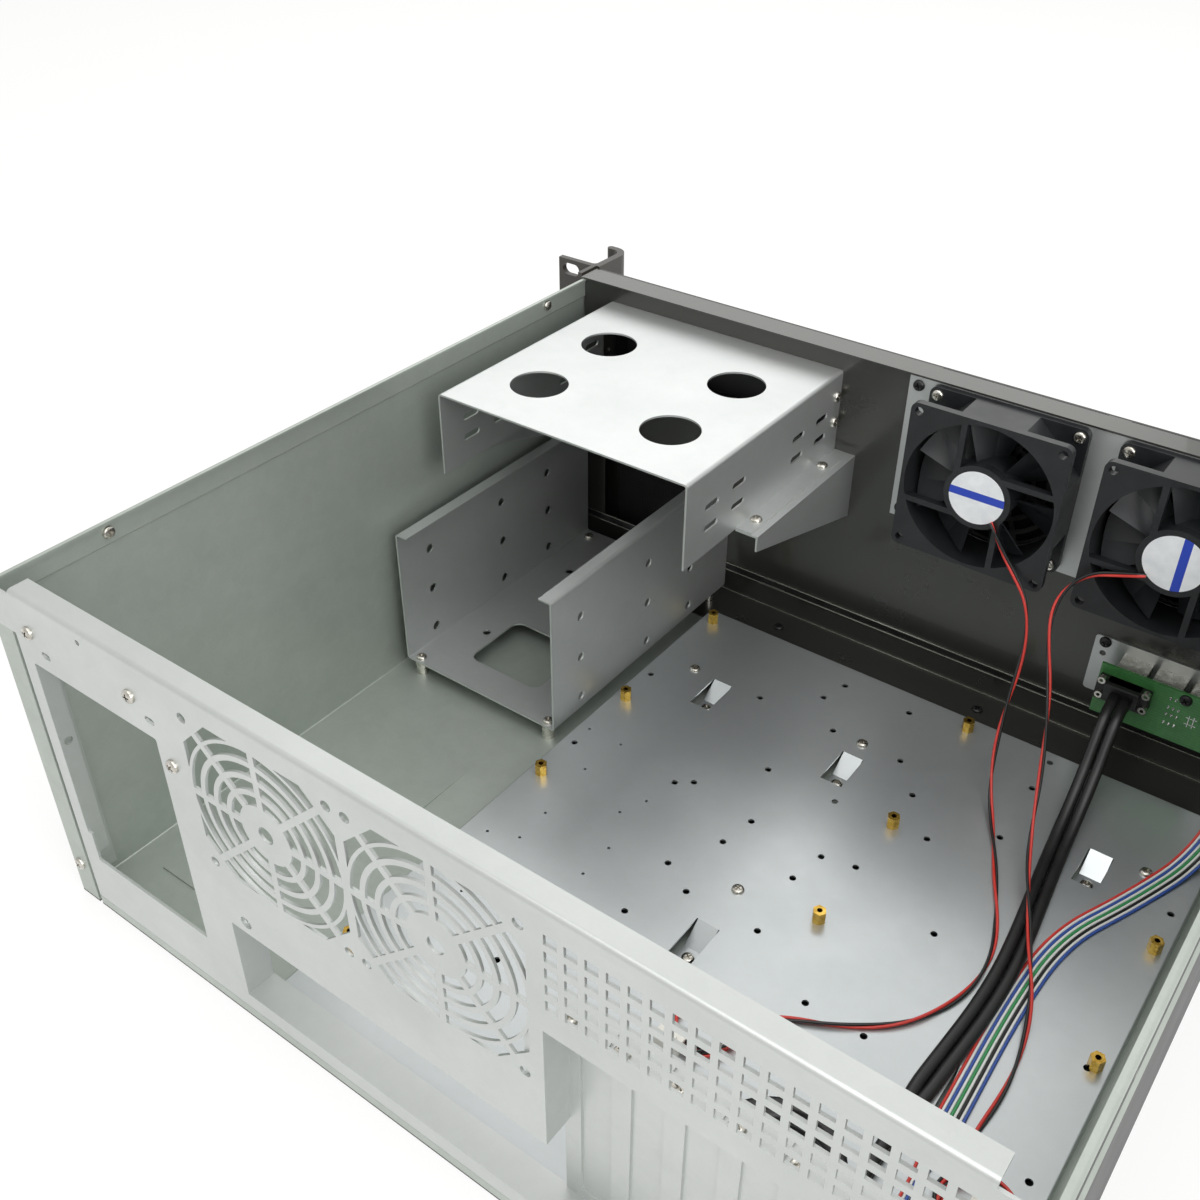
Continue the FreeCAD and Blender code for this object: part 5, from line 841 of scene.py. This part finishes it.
def followed(name, points):
    # points along the smooth line that the route's control points pull
    curve = bpy.data.curves.new(name + "Line", "CURVE")
    curve.dimensions = "3D"
    curve.resolution_u = 5
    spline = curve.splines.new("NURBS")
    spline.points.add(len(points) - 1)
    for control, point in zip(spline.points, points):
        control.co = (*point, 1)
    spline.order_u = 3
    spline.use_endpoint_u = True
    line = bpy.data.objects.new(name + "Line", curve)
    bpy.context.scene.collection.objects.link(line)
    mesh = bpy.data.meshes.new_from_object(line)
    places = [vertex.co.copy() for vertex in mesh.vertices]
    bpy.data.objects.remove(line)
    bpy.data.meshes.remove(mesh)
    return places


# where the wires close into a round bundle, before the run-in's end, and over what length
bundleSet = {"before": 0.05, "length": 0.04, "steepest": 0.3, "upright": 0.01}


def layWires(name, spec, line, bundleFrom):
    # each wire keeps its place beside the others along the cord's line
    mesh = bpy.data.meshes.new(name)
    shape = bmesh.new()
    tangents = [(line[min(at + 1, len(line) - 1)] - line[max(at - 1, 0)]).normalized()
                for at in range(len(line))]
    side = None
    frames, run = [], 0.0
    for at, heading in enumerate(tangents):
        if at:
            run += (line[at] - line[at - 1]).length
        flat = heading.cross(Vector((0, 0, 1)))
        if flat.length > bundleSet["steepest"] or side is None:
            side = flat.normalized() if flat.length > bundleSet["upright"] else Vector((1, 0, 0))
        else:
            side = (side - heading * side.dot(heading)).normalized()
        frames.append((side, side.cross(heading), run))
    names = sorted({wire[0] for wire in spec["wires"]})
    for colour in names:
        mesh.materials.append(finish[colour])
    for colour, across, above, packedAcross, packedAbove in spec["wires"]:
        rings = []
        for centre, (sideways, upwards, run) in zip(line, frames):
            turn = math.tau * run / spec["twist"] if spec["twist"] else 0
            gather = ramp(run, bundleFrom, 1 / bundleSet["length"]) if spec["bundled"] else 0
            gather = gather * gather * (3 - 2 * gather)
            a = across * (1 - gather) + packedAcross * gather
            b = above * (1 - gather) + packedAbove * gather
            middle = (centre + sideways * (a * math.cos(turn) - b * math.sin(turn))
                      + upwards * (a * math.sin(turn) + b * math.cos(turn)))
            angles = [math.tau * part / spec["sides"] for part in range(spec["sides"])]
            rings.append([shape.verts.new(
                middle + sideways * spec["wireRadius"] * math.cos(angle)
                + upwards * spec["wireRadius"] * spec["flatness"] * math.sin(angle))
                for angle in angles])
        index = names.index(colour)
        for before, after in zip(rings, rings[1:]):
            for part in range(spec["sides"]):
                following = (part + 1) % spec["sides"]
                face = shape.faces.new((before[part], before[following], after[following], after[part]))
                face.material_index, face.smooth = index, True
        for ring in (rings[0][::-1], rings[-1]):
            shape.faces.new(ring).material_index = index
    bmesh.ops.recalc_face_normals(shape, faces=shape.faces)
    shape.to_mesh(mesh)
    shape.free()
    piece = bpy.data.objects.new(name, mesh)
    bpy.context.scene.collection.objects.link(piece)
    return piece


for name, spec in cordSet.items():
    line = followed(name, spec["route"] + windings(spec["coil"], spec["turns"]) + spec["tail"])
    runIn = sum((Vector(after) - Vector(before)).length
                for before, after in zip(spec["route"], spec["route"][1:]))
    piece = layWires(name + "_wires", spec, line, runIn - bundleSet["before"])
    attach(piece, "chassis")
    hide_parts(name, name + "_coil")
    connector(name)
print("cords laid:", len(cordSet))


def studio():
    # pale floor, even world and three softboxes
    bpy.ops.mesh.primitive_plane_add(size=studioSet["floorSize"], location=(0, 0, -studioSet["floorDrop"]))
    floor = bpy.context.object
    floor.name = "studioFloor"
    material, tree, shader, place = startMaterial("paleFloor", studioSet["floor"], {"Roughness": 0.9})
    rays = addNode(tree, "ShaderNodeLightPath")
    seen = addNode(tree, "ShaderNodeMath", {"operation": "MAXIMUM"}, {
        0: rays.outputs["Is Camera Ray"], 1: rays.outputs["Is Glossy Ray"]})
    seen = addNode(tree, "ShaderNodeMath", {"operation": "MAXIMUM"}, {
        0: seen.outputs[0], 1: rays.outputs["Is Transmission Ray"]})
    glow = addNode(tree, "ShaderNodeEmission", {"Color": (1, 1, 1, 1), "Strength": 1.0})
    share = addNode(tree, "ShaderNodeMath", {"operation": "MULTIPLY", 1: studioSet["floorGlow"]},
                    {0: seen.outputs[0]})
    both = addNode(tree, "ShaderNodeMixShader", None, {
        0: share.outputs[0], 1: shader.outputs[0], 2: glow.outputs[0]})
    tree.links.new(both.outputs[0], tree.nodes["Material Output"].inputs["Surface"])
    floor.data.materials.append(material)
    world = bpy.data.worlds.new("studioWorld")
    bpy.context.scene.world = world
    world.use_nodes = True
    tree = world.node_tree
    tree.nodes.clear()
    rays = addNode(tree, "ShaderNodeLightPath")
    lit = addNode(tree, "ShaderNodeBackground", {
        "Color": toLinear(studioSet["worldColour"]), "Strength": studioSet["worldStrength"]})
    white = addNode(tree, "ShaderNodeBackground", {"Color": (1, 1, 1, 1), "Strength": 1.0})
    both = addNode(tree, "ShaderNodeMixShader", None, {
        0: rays.outputs["Is Camera Ray"], 1: lit.outputs[0], 2: white.outputs[0]})
    addNode(tree, "ShaderNodeOutputWorld", None, {"Surface": both.outputs[0]})
    for name, (place, aim, width, height, power) in studioSet["lamps"].items():
        light = bpy.data.lights.new(name, "AREA")
        light.shape, light.size, light.size_y, light.energy = "RECTANGLE", width, height, power
        lamp = bpy.data.objects.new(name, light)
        bpy.context.scene.collection.objects.link(lamp)
        lamp.location = place
        lamp.rotation_euler = (Vector(aim) - Vector(place)).to_track_quat("-Z", "Y").to_euler()
    bpy.context.scene.view_settings.view_transform = "Standard"


def addCamera():
    lens = bpy.data.cameras.new("viewCamera")
    lens.lens, lens.sensor_width = cameraSet["lens"], cameraSet["sensor"]
    lens.clip_start, lens.clip_end = cameraSet["clip"]
    camera = bpy.data.objects.new("viewCamera", lens)
    bpy.context.scene.collection.objects.link(camera)
    turn = Vector(cameraSet["heading"]).to_track_quat("-Z", "Y").to_matrix().to_4x4()
    camera.matrix_world = (Matrix.Translation(cameraSet["place"]) @ turn
                           @ Matrix.Rotation(math.radians(cameraSet["rollDegrees"]), 4, "Z"))
    bpy.context.scene.camera = camera


studio()
addCamera()
print("studio and camera ready")
